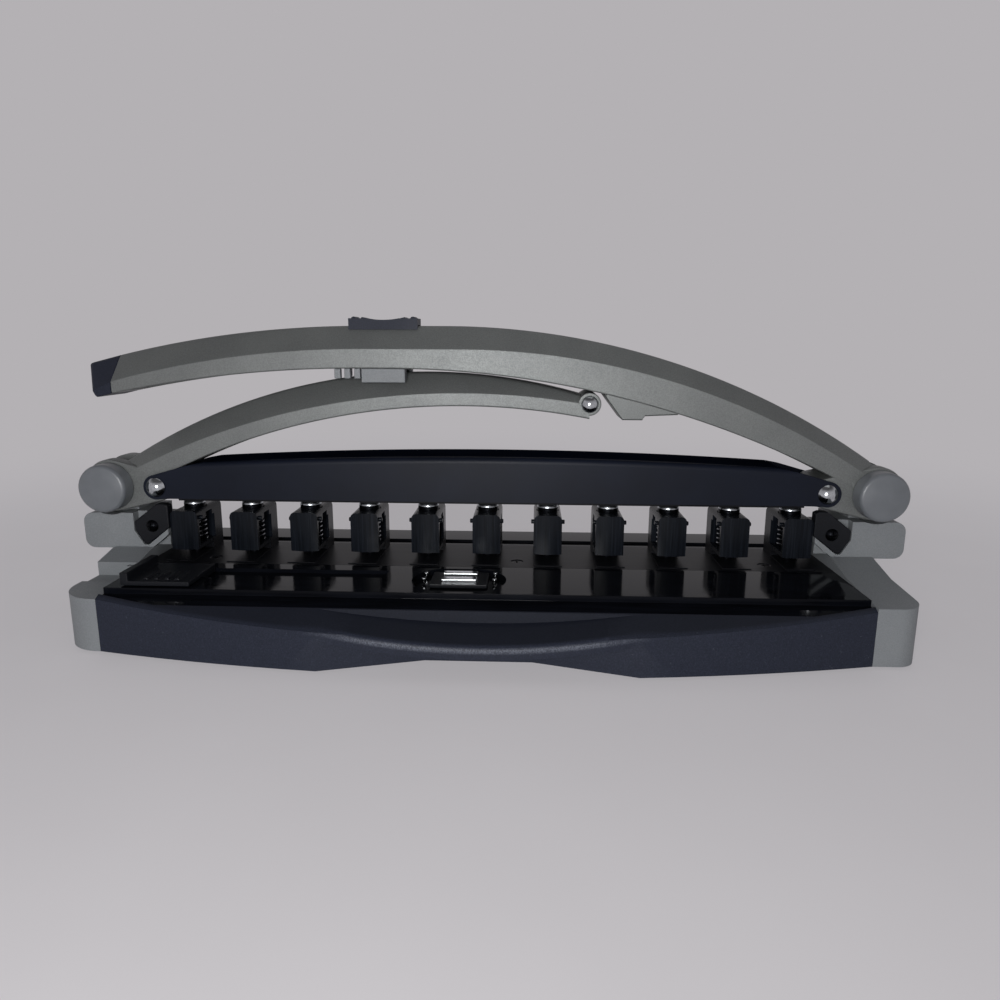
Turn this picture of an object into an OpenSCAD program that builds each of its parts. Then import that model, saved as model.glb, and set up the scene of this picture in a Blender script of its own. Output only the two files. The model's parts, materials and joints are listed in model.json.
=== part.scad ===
// Disc binding punch: eleven sprung cutters under a levered pressure bar, with two crossed arms.
// Millimetres, +Z up, +X to the right, the operator stands on the -Y side.
// The rest pose is the handle pressed down, with every spring closed up.

/* [Punch row] */
// Distance from one cutter to the next
pin_pitch = 25.4; // [25:0.1:28]
// Width of one punch head
head_w = 11.5; // [11:0.25:14]
// Height of one punch head
head_h = 15; // [14:0.5:20]
// From the cutter axis to the front of a head
head_front = 12.6; // [9:0.2:15]
// From the cutter axis to the back of a head
head_back = 13.2; // [12.2:0.1:14.5]
// Height of the paper throat under the heads
throat_h = 4.5; // [4.2:0.1:7]
// Floor left under the spring in a head
head_floor = 2; // [1.5:0.1:3]
// Radius of the spring bore in a head
bore_r = 4.8; // [4.6:0.05:5]
// Radius of the rounded top corners of a head
head_round = 2.2; // [1:0.1:3]

/* [Cutters and springs] */
// Radius of the round part of the cutter
cutter_r = 2.5; // [2:0.1:2.7]
// Width of the cutter's stem towards the paper edge
stem_w = 2.4; // [1.6:0.1:2.8]
// From the cutter axis to the end of the stem
stem_reach = 3.2; // [2.6:0.1:3.3]
// How far the closed cutter reaches below the die face
cutter_sink = 2; // [1:0.25:2.5]
// Radius of the plunger above the spring
plunger_r = 4.4; // [4.2:0.05:4.5]
// From the floor of the head up to the plunger's shoulder
spring_room = 8.7; // [8:0.1:10]
// Wire diameter of a return spring
wire_d = 0.7; // [0.5:0.05:0.8]
// Mean radius of a return spring
coil_r = 4.1; // [4:0.05:4.2]
// Curls in one return spring
coil_curls = 5; // [4:1:6]
// Height of the domed end above a head
dome_rise = 4.1; // [3.2:0.1:6]

/* [Base] */
// Height of the glossy deck above the table
deck_top = 23.5; // [21:0.5:30]
// Thickness of the deck plate, seen as its front step
deck_t = 4.5; // [4:0.25:6]
// From the last cutter to the end of the deck
edge_margin = 12.7; // [12:0.1:16]
// From the cutter row to the riser at the front of the deck
deck_front = 53; // [50:0.5:56]
// Depth of the low glossy ledge in front of the riser
ledge_l = 8; // [6:0.5:10]
// From the cutter row to the middle of the bowed front
front_reach = 74.5; // [72:0.5:82]
// How much the front bows forwards over the width of the deck
front_bow = 15.7; // [8:0.1:18]
// From the cutter row to the back of the base
rear_reach = 41; // [38:0.5:50]
// Width of each side housing
side_w = 16.8; // [16:0.1:22]
// Thickness of the die plate
die_t = 3; // [2.5:0.25:3.5]
// From the cutter row to the front edge of the die plate
die_front = 20.3; // [19:0.1:24]
// Wall of the moulded base
wall = 3; // [2.5:0.25:3.5]
// Height of the rubber feet
foot_h = 0.8; // [0.6:0.1:1.5]
// Half length of the crescent scoop in the front apron
scoop_half = 58; // [45:1:70]

/* [Arms] */
// From the last cutter to an arm's pivot
pivot_out = 30; // [29:0.5:36]
// From a pivot to its link pin
link_lever = 20; // [19:0.25:22]
// Radius of the knuckle at an arm's pivot
knuckle_r = 11; // [10:0.25:12]
// Radius of a pivot shaft
shaft_r = 4; // [3:0.25:5]
// Width of both arms
arm_w = 22; // [20:0.5:26]
// Height of the front handle's top above the pivots
handle_rise = 65.6; // [63:0.5:72]
// Thickness of the front handle over the lock
handle_t = 16.8; // [15:0.2:17.4]
// Height of the front handle's side face, up to its crease
handle_band = 7.7; // [5:0.1:9]
// From the middle out to the front handle's tip
handle_reach = 166.7; // [160:0.1:168]
// Height of the rear arm's top above the pivots
rear_rise = 47.3; // [44:0.1:47.4]
// Thickness of the rear arm at its top
rear_t = 13.2; // [12:0.2:16]
// Radius of the eye that holds the roller
eye_r = 4.6; // [4.2:0.1:4.6]
// Place of the roller to the right of the middle
roller_x = 41.2; // [38:0.1:44]

/* [Pressure bar] */
// Wall of the steel bar
bar_t = 1.6; // [1.2:0.1:2.5]
// Gap from a head up to the lower edge of the bar
bar_gap = 6.4; // [6:0.1:8]
// Height of the bar at its middle
bar_h = 17.6; // [14:0.1:18.5]
// How much the top of the bar is crowned
bar_crown = 3.5; // [2:0.1:5]
// Radius of the bar's ears around the link pins
ear_r = 5.2; // [4.6:0.1:6]
// Height of the link pins over the lower edge of the bar
link_up = 3.8; // [3.6:0.1:5]

/* [Small parts] */
// Length of the lock button
button_l = 28; // [22:0.5:32]
// Travel of the lock button
lock_travel = 4; // [3:0.25:4.5]
// Length of the paper edge guide
guide_l = 26; // [20:1:34]
// Width of the guide's track in the deck
track_w = 11.5; // [8:0.5:13]
// Depth of the chip tray's walls
tray_h = 10.5; // [8:0.25:11]

/* [Fits] */
// Gap between pieces that slide or swing past each other
gap = 0.3; // [0.25:0.01:0.4]
// Radial clearance of a shaft that turns in a bore
run_fit = 0.06; // [0.02:0.01:0.1]

/* [Hidden] */
pin_count = 11;
eps = 0.01;
far = 900;
fine = 360;

grey = "#7f8682";
grey_cap = "#757a80";
navy = "#2b3040";
black = "#17181c";
steel = "#b9bdc2";
gloss = "#101116";
rubber_black = "#1c1c1e";

// Places along X
row_half = pin_pitch * (pin_count - 1) / 2;
deck_half = row_half + edge_margin;
base_half = deck_half + side_w;
pivot_x = row_half + pivot_out;
link_x = pivot_x - link_lever;
tower_half = pivot_x + knuckle_r + 1;
// The row of cutters lies behind the middle of the base, so that the box is centred on the origin
row_y = (front_reach - rear_reach) / 2;

// Heights
insert_top = deck_top + 0.3;
die_z = deck_top - die_t;
shell_top = deck_top - deck_t;
head_z = insert_top + throat_h;
head_top = head_z + head_h;
floor_z = head_z + head_floor;
shoulder_z = floor_z + spring_room;
dome_top = head_top + dome_rise;
presser_z = dome_top + gap;
bar_z = head_top + bar_gap;
pivot_z = bar_z + link_up;
tower_top = pivot_z - 11;
housing_top = deck_top + 4.5;

// End brackets
bracket_screw = [pivot_x - 17.1, housing_top + 9];
bracket_in = row_half + head_w / 2;

// Punch head details
spacer_front = 3;
cutter_y = -0.8;
cut_clear = 0.3;
screw_y = head_back - 2.1;
window_half = 3.3;
ridge = 0.9;
die_back = head_back + 0.6;

// Bar
arm_half = arm_w / 2;
bar_in = arm_half + gap;
bar_out = bar_in + bar_t;
bar_top = bar_z + bar_h;
flange_half = row_half - 9;
link_pin_r = 2.5;
link_head_r = 4;
strip_t = 4;
strip_end = 1.5;
// The left link pin is where the linkage is opened: its hole is a slot that lets it drift outwards
slot_run = 1.3;
slot_clear = 0.3;

// Front handle, in the plane of the arms
handle_top = pivot_z + handle_rise;
handle_low = handle_top - handle_t;
crease_z = handle_low + handle_band;
flat_left = -50;
flat_right = -17;
low_right = -40;
crease_right = -10;
tip_joint = handle_reach - 14;
tip_drop = 15.6;
tip_lift = 12;
crease_slope = 0.9;
crease_run = 16;
function arc_r(dx, drop) = (dx * dx + drop * drop) / (2 * drop);
top_left_r = arc_r(handle_reach + flat_left, tip_drop);
top_right_r = arc_r(pivot_x - flat_right, handle_top - pivot_z - knuckle_r - 0.5);
low_left_r = arc_r(handle_reach - 7 + flat_left, tip_lift);
low_right_r = arc_r(pivot_x - 26 - low_right, handle_low - pivot_z - 10.5);
crease_left_r = arc_r(tip_joint + flat_left, 13.4);
crease_right_r = arc_r(pivot_x - 19 - crease_right, crease_z - pivot_z - 16.5);
channel_wall = 2.6;
rib_xs = [-120, -90, 0, 30, 90];
rib_t = 1.6;

// Rear arm
rear_top = pivot_z + rear_rise;
rear_x = -25;
rear_low_x = -10;
rear_low = rear_top - rear_t;
rear_top_r = arc_r(pivot_x + rear_x, rear_rise - 6.3);
rear_low_r = arc_r(pivot_x - 16 + rear_low_x, rear_low - pivot_z - 1);
rear_crease = rear_top - 8;
rear_crease_r = arc_r(pivot_x - 20 + rear_low_x, rear_crease - pivot_z - 11.6);
// The roller runs just clear of the handle's lower edge
roller_gap = 0.55;
roller_z = handle_low - low_right_r
    + sqrt(pow(low_right_r - eye_r - roller_gap, 2) - pow(roller_x - low_right, 2));
roller_r = 3.4;
rear_wall = 6.6;

// Lugs and cheeks at the pivots
lug_half = 5;
cheek_in = lug_half + gap;
lug_r = 8;
link_lug_r = 6.2;
saddle_gap = 0.8;
cap_r = knuckle_r - 1.1;
cap_l = 8.5;

// Lock
lock_x = -42;
hook_t = 3;
hook_toe = 3;
hook_half = 2;
hook_gap = 0.5;
toe_t = 2;
button_seat = 1.2;
roof_t = 3;
function rear_drop(x) = rear_top_r - sqrt(rear_top_r * rear_top_r - pow(x - rear_x, 2));

// Guide, depth slider and their pockets in the deck
guide_left = -deck_half + 5.7;
track_front = -die_front - 18.3;
track_depth = 1.5;
track_end = -38;
slider_x = -9;
slider_y = -37;
pocket_w = 36;
pocket_d = 28;
pocket_depth = 2.2;

// Base
bow_r = arc_r(deck_half, front_bow);
ledge_y = -deck_front - ledge_l;
riser = 2.3;
ledge_fall = 0.15;
rim = 2.5;
apron_fall = 0.446;
apron_z = deck_top - riser - ledge_fall * ledge_l;
bow_side = -front_reach + front_bow;
room_front = ledge_y + 14;
dish_fall = 0.3;
lip_z = apron_z - apron_fall * (front_reach + ledge_y) - 2.3;
lip_t = 4.3;
dish_r = arc_r(scoop_half, apron_z - lip_z - dish_fall * (front_reach + ledge_y));
tower_in = pivot_x - 13.5;
tower_low = housing_top - 0.6;
tower_back = 13;
core_half = 8.7;
bracket_t = 4.3;
tray_x = row_half + 1.5;
tray_front = -13;
cover_t = 2;
tray_z = foot_h + cover_t + gap;
boss_x = (tray_x + gap + deck_half - wall) / 2;
boss_ys = [-45, 0, rear_reach - 9];
die_screw_xs = [-4.5 * pin_pitch, 0.5 * pin_pitch, 4.5 * pin_pitch];
die_screw_y = 9 - die_front;
foot_r = 8;
foot_xs = [-row_half + 9, row_half - 9];
foot_ys = [-40, rear_reach - 12];

function pin_x(i) = (i - (pin_count - 1) / 2) * pin_pitch;

// Shared shapes

// Moves a shape drawn about the cutter row to its place over the base
module at_row() {
    translate([0, row_y, 0]) children();
}

// A block between two corners
module block(a, b) {
    translate(a) cube(b - a);
}

// Extrudes an outline drawn in X and Z between two places along Y
module across(y0, y1) {
    translate([0, y1, 0]) rotate([90, 0, 0]) linear_extrude(y1 - y0) children();
}

// Extrudes an outline drawn in Y and Z between two places along X
module along(x0, x1) {
    translate([x0, 0, 0]) rotate([90, 0, 90]) linear_extrude(x1 - x0) children();
}

// A rod along Y at a place in X and Z
module rod(x, z, r, y0, y1) {
    translate([x, y0, z]) rotate([-90, 0, 0]) cylinder(r = r, h = y1 - y0, $fn = 64);
}

// A shallow dome that faces +Z, of a given foot radius and height
module dome(r, h) {
    ball = arc_r(r, h);
    intersection() {
        translate([0, 0, h - ball]) sphere(r = ball, $fn = 96);
        cylinder(r = r + 1, h = h + 1, $fn = 64);
    }
}

// The disc whose top lies at a given point of an arc
module arc_disc(x, z, r) {
    translate([x, z - r]) circle(r = r, $fn = fine);
}

// A link with two round ends and straight sides, set in a hair so that they cross the rounds
module link_outline(a, round_a, b, round_b) {
    set_in = 0.05;
    ra = round_a - set_in;
    rb = round_b - set_in;
    d = norm(b - a);
    dir = atan2(b[1] - a[1], b[0] - a[0]);
    turn = acos((ra - rb) / d);
    translate(a) circle(r = round_a, $fn = 96);
    translate(b) circle(r = round_b, $fn = 96);
    polygon([
        a + ra * [cos(dir + turn), sin(dir + turn)],
        a + ra * [cos(dir - turn), sin(dir - turn)],
        b + rb * [cos(dir - turn), sin(dir - turn)],
        b + rb * [cos(dir + turn), sin(dir + turn)]
    ]);
}

// A rectangle between two corners, with all four corners round
module round_rect(a, b, r) {
    translate([a[0] + r, a[1]]) square([b[0] - a[0] - 2 * r, b[1] - a[1]]);
    translate([a[0], a[1] + r]) square([b[0] - a[0], b[1] - a[1] - 2 * r]);
    for (x = [a[0] + r, b[0] - r], y = [a[1] + r, b[1] - r])
        translate([x, y]) circle(r = r, $fn = 48);
}

// A countersunk screw along Z, its head up, its top at the origin
module flat_screw(r, head, length) {
    difference() {
        union() {
            translate([0, 0, -length]) cylinder(r = r, h = length - head + r, $fn = 32);
            translate([0, 0, r - head]) cylinder(r1 = r, r2 = head, h = head - r, $fn = 48);
        }
        for (turn = [0, 90]) rotate(turn)
            block([-head * 0.55, -0.3, -0.8], [head * 0.55, 0.3, 1]);
    }
}

module flat_screw_hole(r, head, length) {
    translate([0, 0, -length]) cylinder(r = r, h = length + eps, $fn = 32);
    translate([0, 0, r - head]) cylinder(r1 = r, r2 = head, h = head - r, $fn = 48);
    cylinder(r = head, h = 1, $fn = 48);
}

// Base

// The bowed plan of the navy base, between the two side housings
module base_plan() {
    intersection() {
        translate([0, bow_r - front_reach]) circle(r = bow_r, $fn = fine);
        translate([-deck_half, -front_reach - 1]) square([2 * deck_half, front_reach + rear_reach + 1]);
    }
}

// The plan of the deck's seat, which leaves a rim of the base along the bowed front
module deck_plan() {
    intersection() {
        translate([0, bow_r - front_reach]) circle(r = bow_r - rim, $fn = fine);
        translate([-deck_half, ledge_y]) square([2 * deck_half, far]);
    }
}

// The round tool that dishes the front, falling towards the operator, grown by a thickness
module dish(grow) {
    translate([0, -front_reach, lip_z]) rotate([atan(dish_fall), 0, 0])
        translate([0, -front_reach, dish_r]) rotate([-90, 0, 0])
            cylinder(r = dish_r + grow, h = 2 * front_reach, $fn = fine);
}

// The crescent dish in the middle of the front, and the recess for fingers under its thin lip
module front_scoop() {
    recess_half = scoop_half - 2;
    recess_in = scoop_half / 3;
    recess_y = bow_r - front_reach - sqrt(bow_r * bow_r - recess_half * recess_half);
    // The slanted sides run on past the bowed front
    past = 3;
    side_run = past * (recess_half - recess_in) / (ledge_y - recess_y);
    intersection() {
        dish(0);
        block([-far, -far, 0], [far, ledge_y - 0.5, far]);
    }
    difference() {
        linear_extrude(deck_top) polygon([
            [-recess_half - side_run, recess_y - past], [-recess_in, ledge_y], [recess_in, ledge_y],
            [recess_half + side_run, recess_y - past], [0, -far]
        ]);
        dish(lip_t);
    }
}

module base_shell() {
    color(navy) at_row() difference() {
        union() {
            difference() {
                translate([0, 0, foot_h]) linear_extrude(deck_top - foot_h) base_plan();
                // The deck's seat
                block([-far, -deck_front, shell_top], [far, far, far]);
                translate([0, 0, shell_top]) linear_extrude(far) deck_plan();
                // The apron falls from the ledge to the front edge
                along(-base_half, base_half) polygon([
                    [-deck_front, apron_z + apron_fall * ledge_l], [-deck_front, far], [-far, far],
                    [-far, apron_z - apron_fall * (far + ledge_y)]
                ]);
                front_scoop();
            }
            block([-deck_half, -die_front, shell_top - eps], [deck_half, rear_reach, die_z]);
        }
        // Room inside for the tray, the bosses and the cover
        difference() {
            block([-deck_half + wall, room_front, -1],
                  [deck_half - wall, rear_reach - wall, shell_top - wall]);
            for (x = [-boss_x, boss_x], y = boss_ys)
                translate([x, y, 0]) cylinder(r = 3.2, h = shell_top, $fn = 48);
        }
        for (x = [-boss_x, boss_x], y = boss_ys)
            translate([x, y, -1]) cylinder(r = 3.4, h = foot_h + cover_t + 1, $fn = 48);
        // Bores for the cover's screws
        for (x = [-boss_x, boss_x], y = boss_ys)
            translate([x, y, foot_h]) cylinder(r = 1.2, h = 9, $fn = 32);
        // Chips fall through here
        block([-row_half - 5, -7, shell_top - wall - 1], [row_half + 5, spacer_front + 3, deck_top]);
        // Die plate screws
        for (x = die_screw_xs)
            translate([x, die_screw_y, die_z - 8]) cylinder(r = 1.2, h = 9, $fn = 32);
        // Doorway for the tray at the back
        block([-tray_x - gap, rear_reach - wall - 1, foot_h + cover_t],
              [tray_x + gap, rear_reach + 1, tray_z + tray_h + gap]);
    }
}

// Plan of a right-hand side housing, with a round outer corner at the front and the back
module side_plan(front_round) {
    back_round = 8;
    difference() {
        translate([deck_half, bow_side]) square([side_w, rear_reach - bow_side]);
        translate([base_half - front_round, bow_side - 1]) square([front_round + 1, front_round + 1]);
        translate([base_half - back_round, rear_reach - back_round]) square([back_round + 1, back_round + 1]);
    }
    translate([base_half - front_round, bow_side + front_round]) circle(r = front_round, $fn = 96);
    translate([base_half - back_round, rear_reach - back_round]) circle(r = back_round, $fn = 64);
}

// The tower's outline from the front: a lying barrel with round outer corners
module tower_outline() {
    corner = 4;
    difference() {
        round_rect([tower_in, tower_low], [tower_half, tower_top], corner);
        translate([tower_in - 1, tower_top - corner]) square([corner, corner + 1]);
    }
    translate([tower_in, tower_low]) square([2 * corner, tower_top - tower_low]);
}

// A right-hand side housing with its tower, without what differs from side to side
module side_housing(front_round) {
    slope_from = 15;
    knee_from = 31;
    front_top = deck_top - 1.2;
    back_top = deck_top - 1;
    boss_in = row_half + head_w / 2 + 2;
    boss_low = housing_top;
    difference() {
        union() {
            intersection() {
                translate([0, 0, foot_h]) linear_extrude(far) side_plan(front_round);
                along(deck_half, base_half) polygon([
                    [bow_side, 0], [rear_reach, 0], [rear_reach, back_top], [slope_from, housing_top],
                    [-slope_from, housing_top], [-knee_from, deck_top + 1], [bow_side, front_top]
                ]);
            }
            // Tower with a saddle for the knuckle
            difference() {
                across(-tower_back, tower_back) tower_outline();
                across(-far / 2, far / 2) knuckle_outline(saddle_gap);
                // Seat for the end bracket
                block([tower_in - 1, -tower_back - 1, tower_low - 1],
                      [tower_in + 4.2, -core_half, tower_top + 1]);
            }
            // Rim that follows the lower side of the end bracket
            across(-tower_back, -core_half + 1) polygon([
                [bracket_in + 0.6, housing_top + 7.8], [tower_in - 5.5, housing_top + 4.1],
                [tower_in - 1.4, housing_top + 0.9], [tower_in + 0.5, housing_top + 0.9],
                [tower_in + 4.2, housing_top + 7], [tower_in + 5, housing_top + 7],
                [tower_in + 5, tower_low], [tower_in - 2.4, tower_low],
                [tower_in - 6.3, housing_top + 2.2], [bracket_in + 0.6, housing_top + 5.6]
            ]);
            // Neck under the tower
            block([deck_half, -core_half, boss_low - 8], [tower_half - 15, core_half, tower_top - 6]);
            block([boss_in, -core_half, boss_low], [tower_in + 4, core_half, tower_top - 3]);
            block([deck_half, -core_half, boss_low - 8], [tower_in + 4, core_half, tower_top - 3]);
            // Lug that carries the pivot shaft
            across(-lug_half, lug_half) {
                translate([pivot_x, pivot_z]) circle(r = lug_r, $fn = 96);
                translate([pivot_x - lug_r, housing_top]) square([2 * lug_r, pivot_z - housing_top]);
            }
        }
        rod(pivot_x, pivot_z, shaft_r, -far / 2, far / 2);
        // Hollow underneath
        block([deck_half + wall, bow_side + 14, -1], [base_half - 9, rear_reach - 9, deck_top - 8]);
        // Bracket screw
        rod(bracket_screw[0], bracket_screw[1], 1.2, -core_half - 1, -core_half + 9);
    }
}

module right_side_housing() {
    color(grey) at_row() side_housing(8);
}

module left_side_housing() {
    shelf_z = deck_top - 2.5;
    groove_z = shelf_z - 1.2;
    track_back = track_front + track_w;
    tab_w = 3.8;
    color(grey) at_row() {
        difference() {
            mirror([1, 0, 0]) side_housing(16);
            // Low shelf in front, with the paper guide's track running out through the side
            block([-base_half - 1, bow_side - 1, shelf_z], [-deck_half + 1, track_back, far]);
            block([-base_half - 1, track_front, groove_z], [-deck_half + 1, track_back, far]);
        }
        // Small stop at the inner end of the groove
        block([-deck_half - tab_w, track_back - 2.5, groove_z - eps],
              [-deck_half, track_back + eps, deck_top + 1]);
    }
}

module deck_plate() {
    color(gloss) at_row() difference() {
        union() {
            block([-deck_half, -deck_front, shell_top], [deck_half, -die_front, deck_top]);
            // Low ledge in front of the riser
            intersection() {
                translate([0, 0, shell_top]) linear_extrude(deck_t) deck_plan();
                along(-deck_half, deck_half) polygon([
                    [1 - deck_front, shell_top], [1 - deck_front, deck_top - riser],
                    [-deck_front, deck_top - riser], [ledge_y - 1, apron_z - ledge_fall],
                    [ledge_y - 1, shell_top]
                ]);
            }
        }
        // Track of the paper edge guide
        block([-deck_half - 1, track_front, deck_top - track_depth],
              [track_end, track_front + track_w, deck_top + 1]);
        // Oval pocket of the depth slider
        translate([slider_x, slider_y, deck_top - pocket_depth]) linear_extrude(pocket_depth + 1)
            round_rect([-pocket_w / 2, -pocket_d / 2], [pocket_w / 2, pocket_d / 2], pocket_d / 2 - 0.5);
    }
}

module rear_cover() {
    color(gloss) at_row() difference() {
        block([-deck_half, die_back, die_z], [deck_half, rear_reach, deck_top - 0.5]);
        // Shallow step along the front of the shelf
        block([-deck_half - 1, die_back - 1, deck_top - 1.5], [deck_half + 1, die_back + 10, deck_top]);
    }
}

module bottom_cover() {
    edge = 0.3;
    color(black) at_row() difference() {
        block([-deck_half + wall + edge, room_front + edge, foot_h],
              [deck_half - wall - edge, rear_reach - wall - edge, foot_h + cover_t]);
        for (x = [-boss_x, boss_x], y = boss_ys)
            translate([x, y, foot_h]) mirror([0, 0, 1]) flat_screw_hole(1.2, 2.4, cover_t + 1);
    }
}

module bottom_screws() {
    color(steel) at_row() for (x = [-boss_x, boss_x], y = boss_ys)
        translate([x, y, foot_h]) mirror([0, 0, 1]) flat_screw(1.2, 2.4, 8);
}

module rubber_feet() {
    color(rubber_black) at_row() for (x = foot_xs, y = foot_ys)
        translate([x, y, 0]) cylinder(r = foot_r, h = foot_h, $fn = 64);
}

// Punching works

// Outline of the mushroom cutter, grown by a clearance
module cutter_outline(clear = 0) {
    translate([0, cutter_y]) circle(r = cutter_r + clear, $fn = 48);
    translate([-stem_w / 2 - clear, cutter_y]) square([stem_w + 2 * clear, stem_reach - cutter_y + clear]);
}

module insert_outline() {
    translate([-head_w / 2, -die_front + 2.3]) square([head_w, die_front - 2.3 + head_back]);
}

module die_plate() {
    color("#2a2b2e") at_row() difference() {
        block([-deck_half, -die_front, die_z], [deck_half, die_back, deck_top]);
        for (i = [0 : pin_count - 1])
            translate([pin_x(i), 0, die_z - 1]) linear_extrude(die_t + 2) insert_outline();
        for (x = die_screw_xs)
            translate([x, die_screw_y, deck_top]) flat_screw_hole(1.4, 2.6, die_t + 1);
    }
}

module die_inserts() {
    color(steel) at_row() for (i = [0 : pin_count - 1]) translate([pin_x(i), 0, 0])
        difference() {
            translate([0, 0, die_z]) linear_extrude(insert_top - die_z) insert_outline();
            translate([0, 0, die_z - 1]) linear_extrude(die_t + 3) cutter_outline(cut_clear);
            translate([0, screw_y, die_z - 1]) cylinder(r = 1.1, h = die_t + 3, $fn = 32);
        }
}

module die_screws() {
    color(steel) at_row() for (x = die_screw_xs)
        translate([x, die_screw_y, deck_top - 0.3]) flat_screw(1.2, 2.3, die_t + 4);
}

module throat_spacers() {
    color(black) at_row() for (i = [0 : pin_count - 1]) translate([pin_x(i), 0, 0])
        difference() {
            block([-head_w / 2, spacer_front, insert_top], [head_w / 2, head_back, head_z]);
            translate([0, 0, insert_top - 1]) linear_extrude(throat_h + 2) cutter_outline(cut_clear);
            translate([0, screw_y, insert_top - 1]) cylinder(r = 1.1, h = throat_h + 2, $fn = 32);
        }
}

module head_screws() {
    color(steel) at_row() for (i = [0 : pin_count - 1])
        translate([pin_x(i), screw_y, head_top]) flat_screw(1.1, 1.8, head_top - die_z);
}

// One guide block: a shallow ridge down its front, a spring bore and a window in each side
module punch_head(i) {
    half = head_w / 2;
    color(black) at_row() translate([pin_x(i), 0, 0]) difference() {
        intersection() {
            translate([0, 0, head_z]) linear_extrude(head_h) polygon([
                [-half, head_back], [-half, ridge - head_front], [0, -head_front],
                [half, ridge - head_front], [half, head_back]
            ]);
            across(-head_front - 1, head_back + 1) {
                round_rect([-half, head_z - 2 * head_round], [half, head_top], head_round);
            }
        }
        translate([0, 0, floor_z]) cylinder(r = bore_r, h = head_h, $fn = 64);
        translate([0, 0, head_z - 1]) linear_extrude(head_h) cutter_outline(cut_clear);
        block([-half - 1, -window_half, floor_z + 1], [half + 1, window_half, head_top - head_round]);
        translate([0, screw_y, head_top]) flat_screw_hole(1.1, 1.8, head_h + 1);
        // Bevel under the front edge, which leads the paper in
        translate([0, -head_front, head_z - eps]) rotate([30, 0, 0]) block([-half - 1, -6, -3], [half + 1, 3, 0]);
    }
}

// Return springs: each is one helix of round wire with straight ends
coil_sides = 6;
coil_rings = 8;
coil_low = floor_z + gap + wire_d / 2;
coil_high = shoulder_z - gap - wire_d / 2;
coil_steps = coil_curls * coil_rings;

function coil_turn(k) = 360 * k / coil_rings;
function coil_centre(k) = [
    coil_r * cos(coil_turn(k)), coil_r * sin(coil_turn(k)),
    coil_low + (coil_high - coil_low) * k / coil_steps
];
function coil_heading(k) =
    let (climb = (coil_high - coil_low) / coil_curls,
         run = 2 * PI * coil_r)
    [-sin(coil_turn(k)) * run, cos(coil_turn(k)) * run, climb] / norm([run, climb]);
function wire_ring(centre, k) =
    let (out = [cos(coil_turn(k)), sin(coil_turn(k)), 0],
         up = cross(coil_heading(k), out))
    [for (j = [0 : coil_sides - 1])
        centre + wire_d / 2 * (cos(360 * j / coil_sides) * out + sin(360 * j / coil_sides) * up)];
coil_path = concat(
    wire_ring(coil_centre(0) - wire_d * coil_heading(0), 0),
    [for (k = [0 : coil_steps], p = wire_ring(coil_centre(k), k)) p],
    wire_ring(coil_centre(coil_steps) + wire_d * coil_heading(coil_steps), coil_steps)
);
coil_last = (coil_steps + 2) * coil_sides;
coil_faces = concat(
    [for (k = [0 : coil_steps + 1], j = [0 : coil_sides - 1])
        [k * coil_sides + j, k * coil_sides + (j + 1) % coil_sides, (k + 1) * coil_sides + j]],
    [for (k = [0 : coil_steps + 1], j = [0 : coil_sides - 1])
        [k * coil_sides + (j + 1) % coil_sides, (k + 1) * coil_sides + (j + 1) % coil_sides,
         (k + 1) * coil_sides + j]],
    [for (j = [1 : coil_sides - 2]) [0, j + 1, j]],
    [for (j = [1 : coil_sides - 2]) [coil_last, coil_last + j, coil_last + j + 1]]
);
// Points half a curl or more apart along the wire are different curls
coil_self_gap = min([for (a = [0 : coil_steps], b = [0 : coil_steps])
    if (b - a >= coil_rings / 2) norm(coil_centre(a) - coil_centre(b)) - wire_d]);
echo(least_gap_in_a_spring = coil_self_gap);

module return_springs() {
    color(steel) at_row() for (i = [0 : pin_count - 1])
        translate([pin_x(i), 0, 0]) polyhedron(coil_path, coil_faces);
}

// Cutter, plunger and domed end in one piece
module punch_pin(i) {
    color(steel) at_row() translate([pin_x(i), 0, 0]) {
        tip = deck_top - cutter_sink;
        barrel_top = head_top + 1.4;
        translate([0, 0, tip]) linear_extrude(shoulder_z - tip + eps) cutter_outline();
        translate([0, 0, shoulder_z]) cylinder(r = plunger_r, h = barrel_top - shoulder_z, $fn = 64);
        translate([0, 0, barrel_top - eps]) dome(plunger_r, dome_top - barrel_top);
    }
}

// End brackets

module end_bracket() {
    difference() {
        across(-core_half - bracket_t, -core_half) polygon([
            [bracket_in, head_top + 2.4], [bracket_in + 1.5, head_top + 3.1],
            [bracket_in + 4.8, head_top + 3.1], [tower_in + 3.9, housing_top + 10.8],
            [tower_in + 3.9, housing_top + 7.1], [tower_in + 0.3, housing_top + 1.2],
            [tower_in - 1.3, housing_top + 1.2], [tower_in - 5.5, housing_top + 4.4],
            [bracket_in, head_top - 7]
        ]);
        rod(bracket_screw[0], bracket_screw[1], 1.6, -tower_back - 5, 0);
    }
}

module right_end_bracket() {
    color(black) at_row() end_bracket();
}

module left_end_bracket() {
    color(black) at_row() mirror([1, 0, 0]) end_bracket();
}

module bracket_screws() {
    seat = -core_half - bracket_t;
    head_r = 2.6;
    color(steel) at_row() for (side = [0, 1]) mirror([side, 0, 0]) difference() {
        union() {
            rod(bracket_screw[0], bracket_screw[1], 1.2, seat, -core_half + 8);
            translate([bracket_screw[0], seat, bracket_screw[1]]) rotate([90, 0, 0]) dome(head_r, 1.5);
        }
        for (turn = [0, 90])
            translate([bracket_screw[0], seat - 2, bracket_screw[1]]) rotate([0, turn, 0])
                block([-1.5, 0, -0.3], [1.5, 1.6, 0.3]);
    }
}

// Pivots

module pivot_shaft() {
    rod(pivot_x, pivot_z, shaft_r, -arm_half - 4, arm_half + 4);
}

module right_pivot_shaft() {
    color(steel) at_row() pivot_shaft();
}

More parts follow.
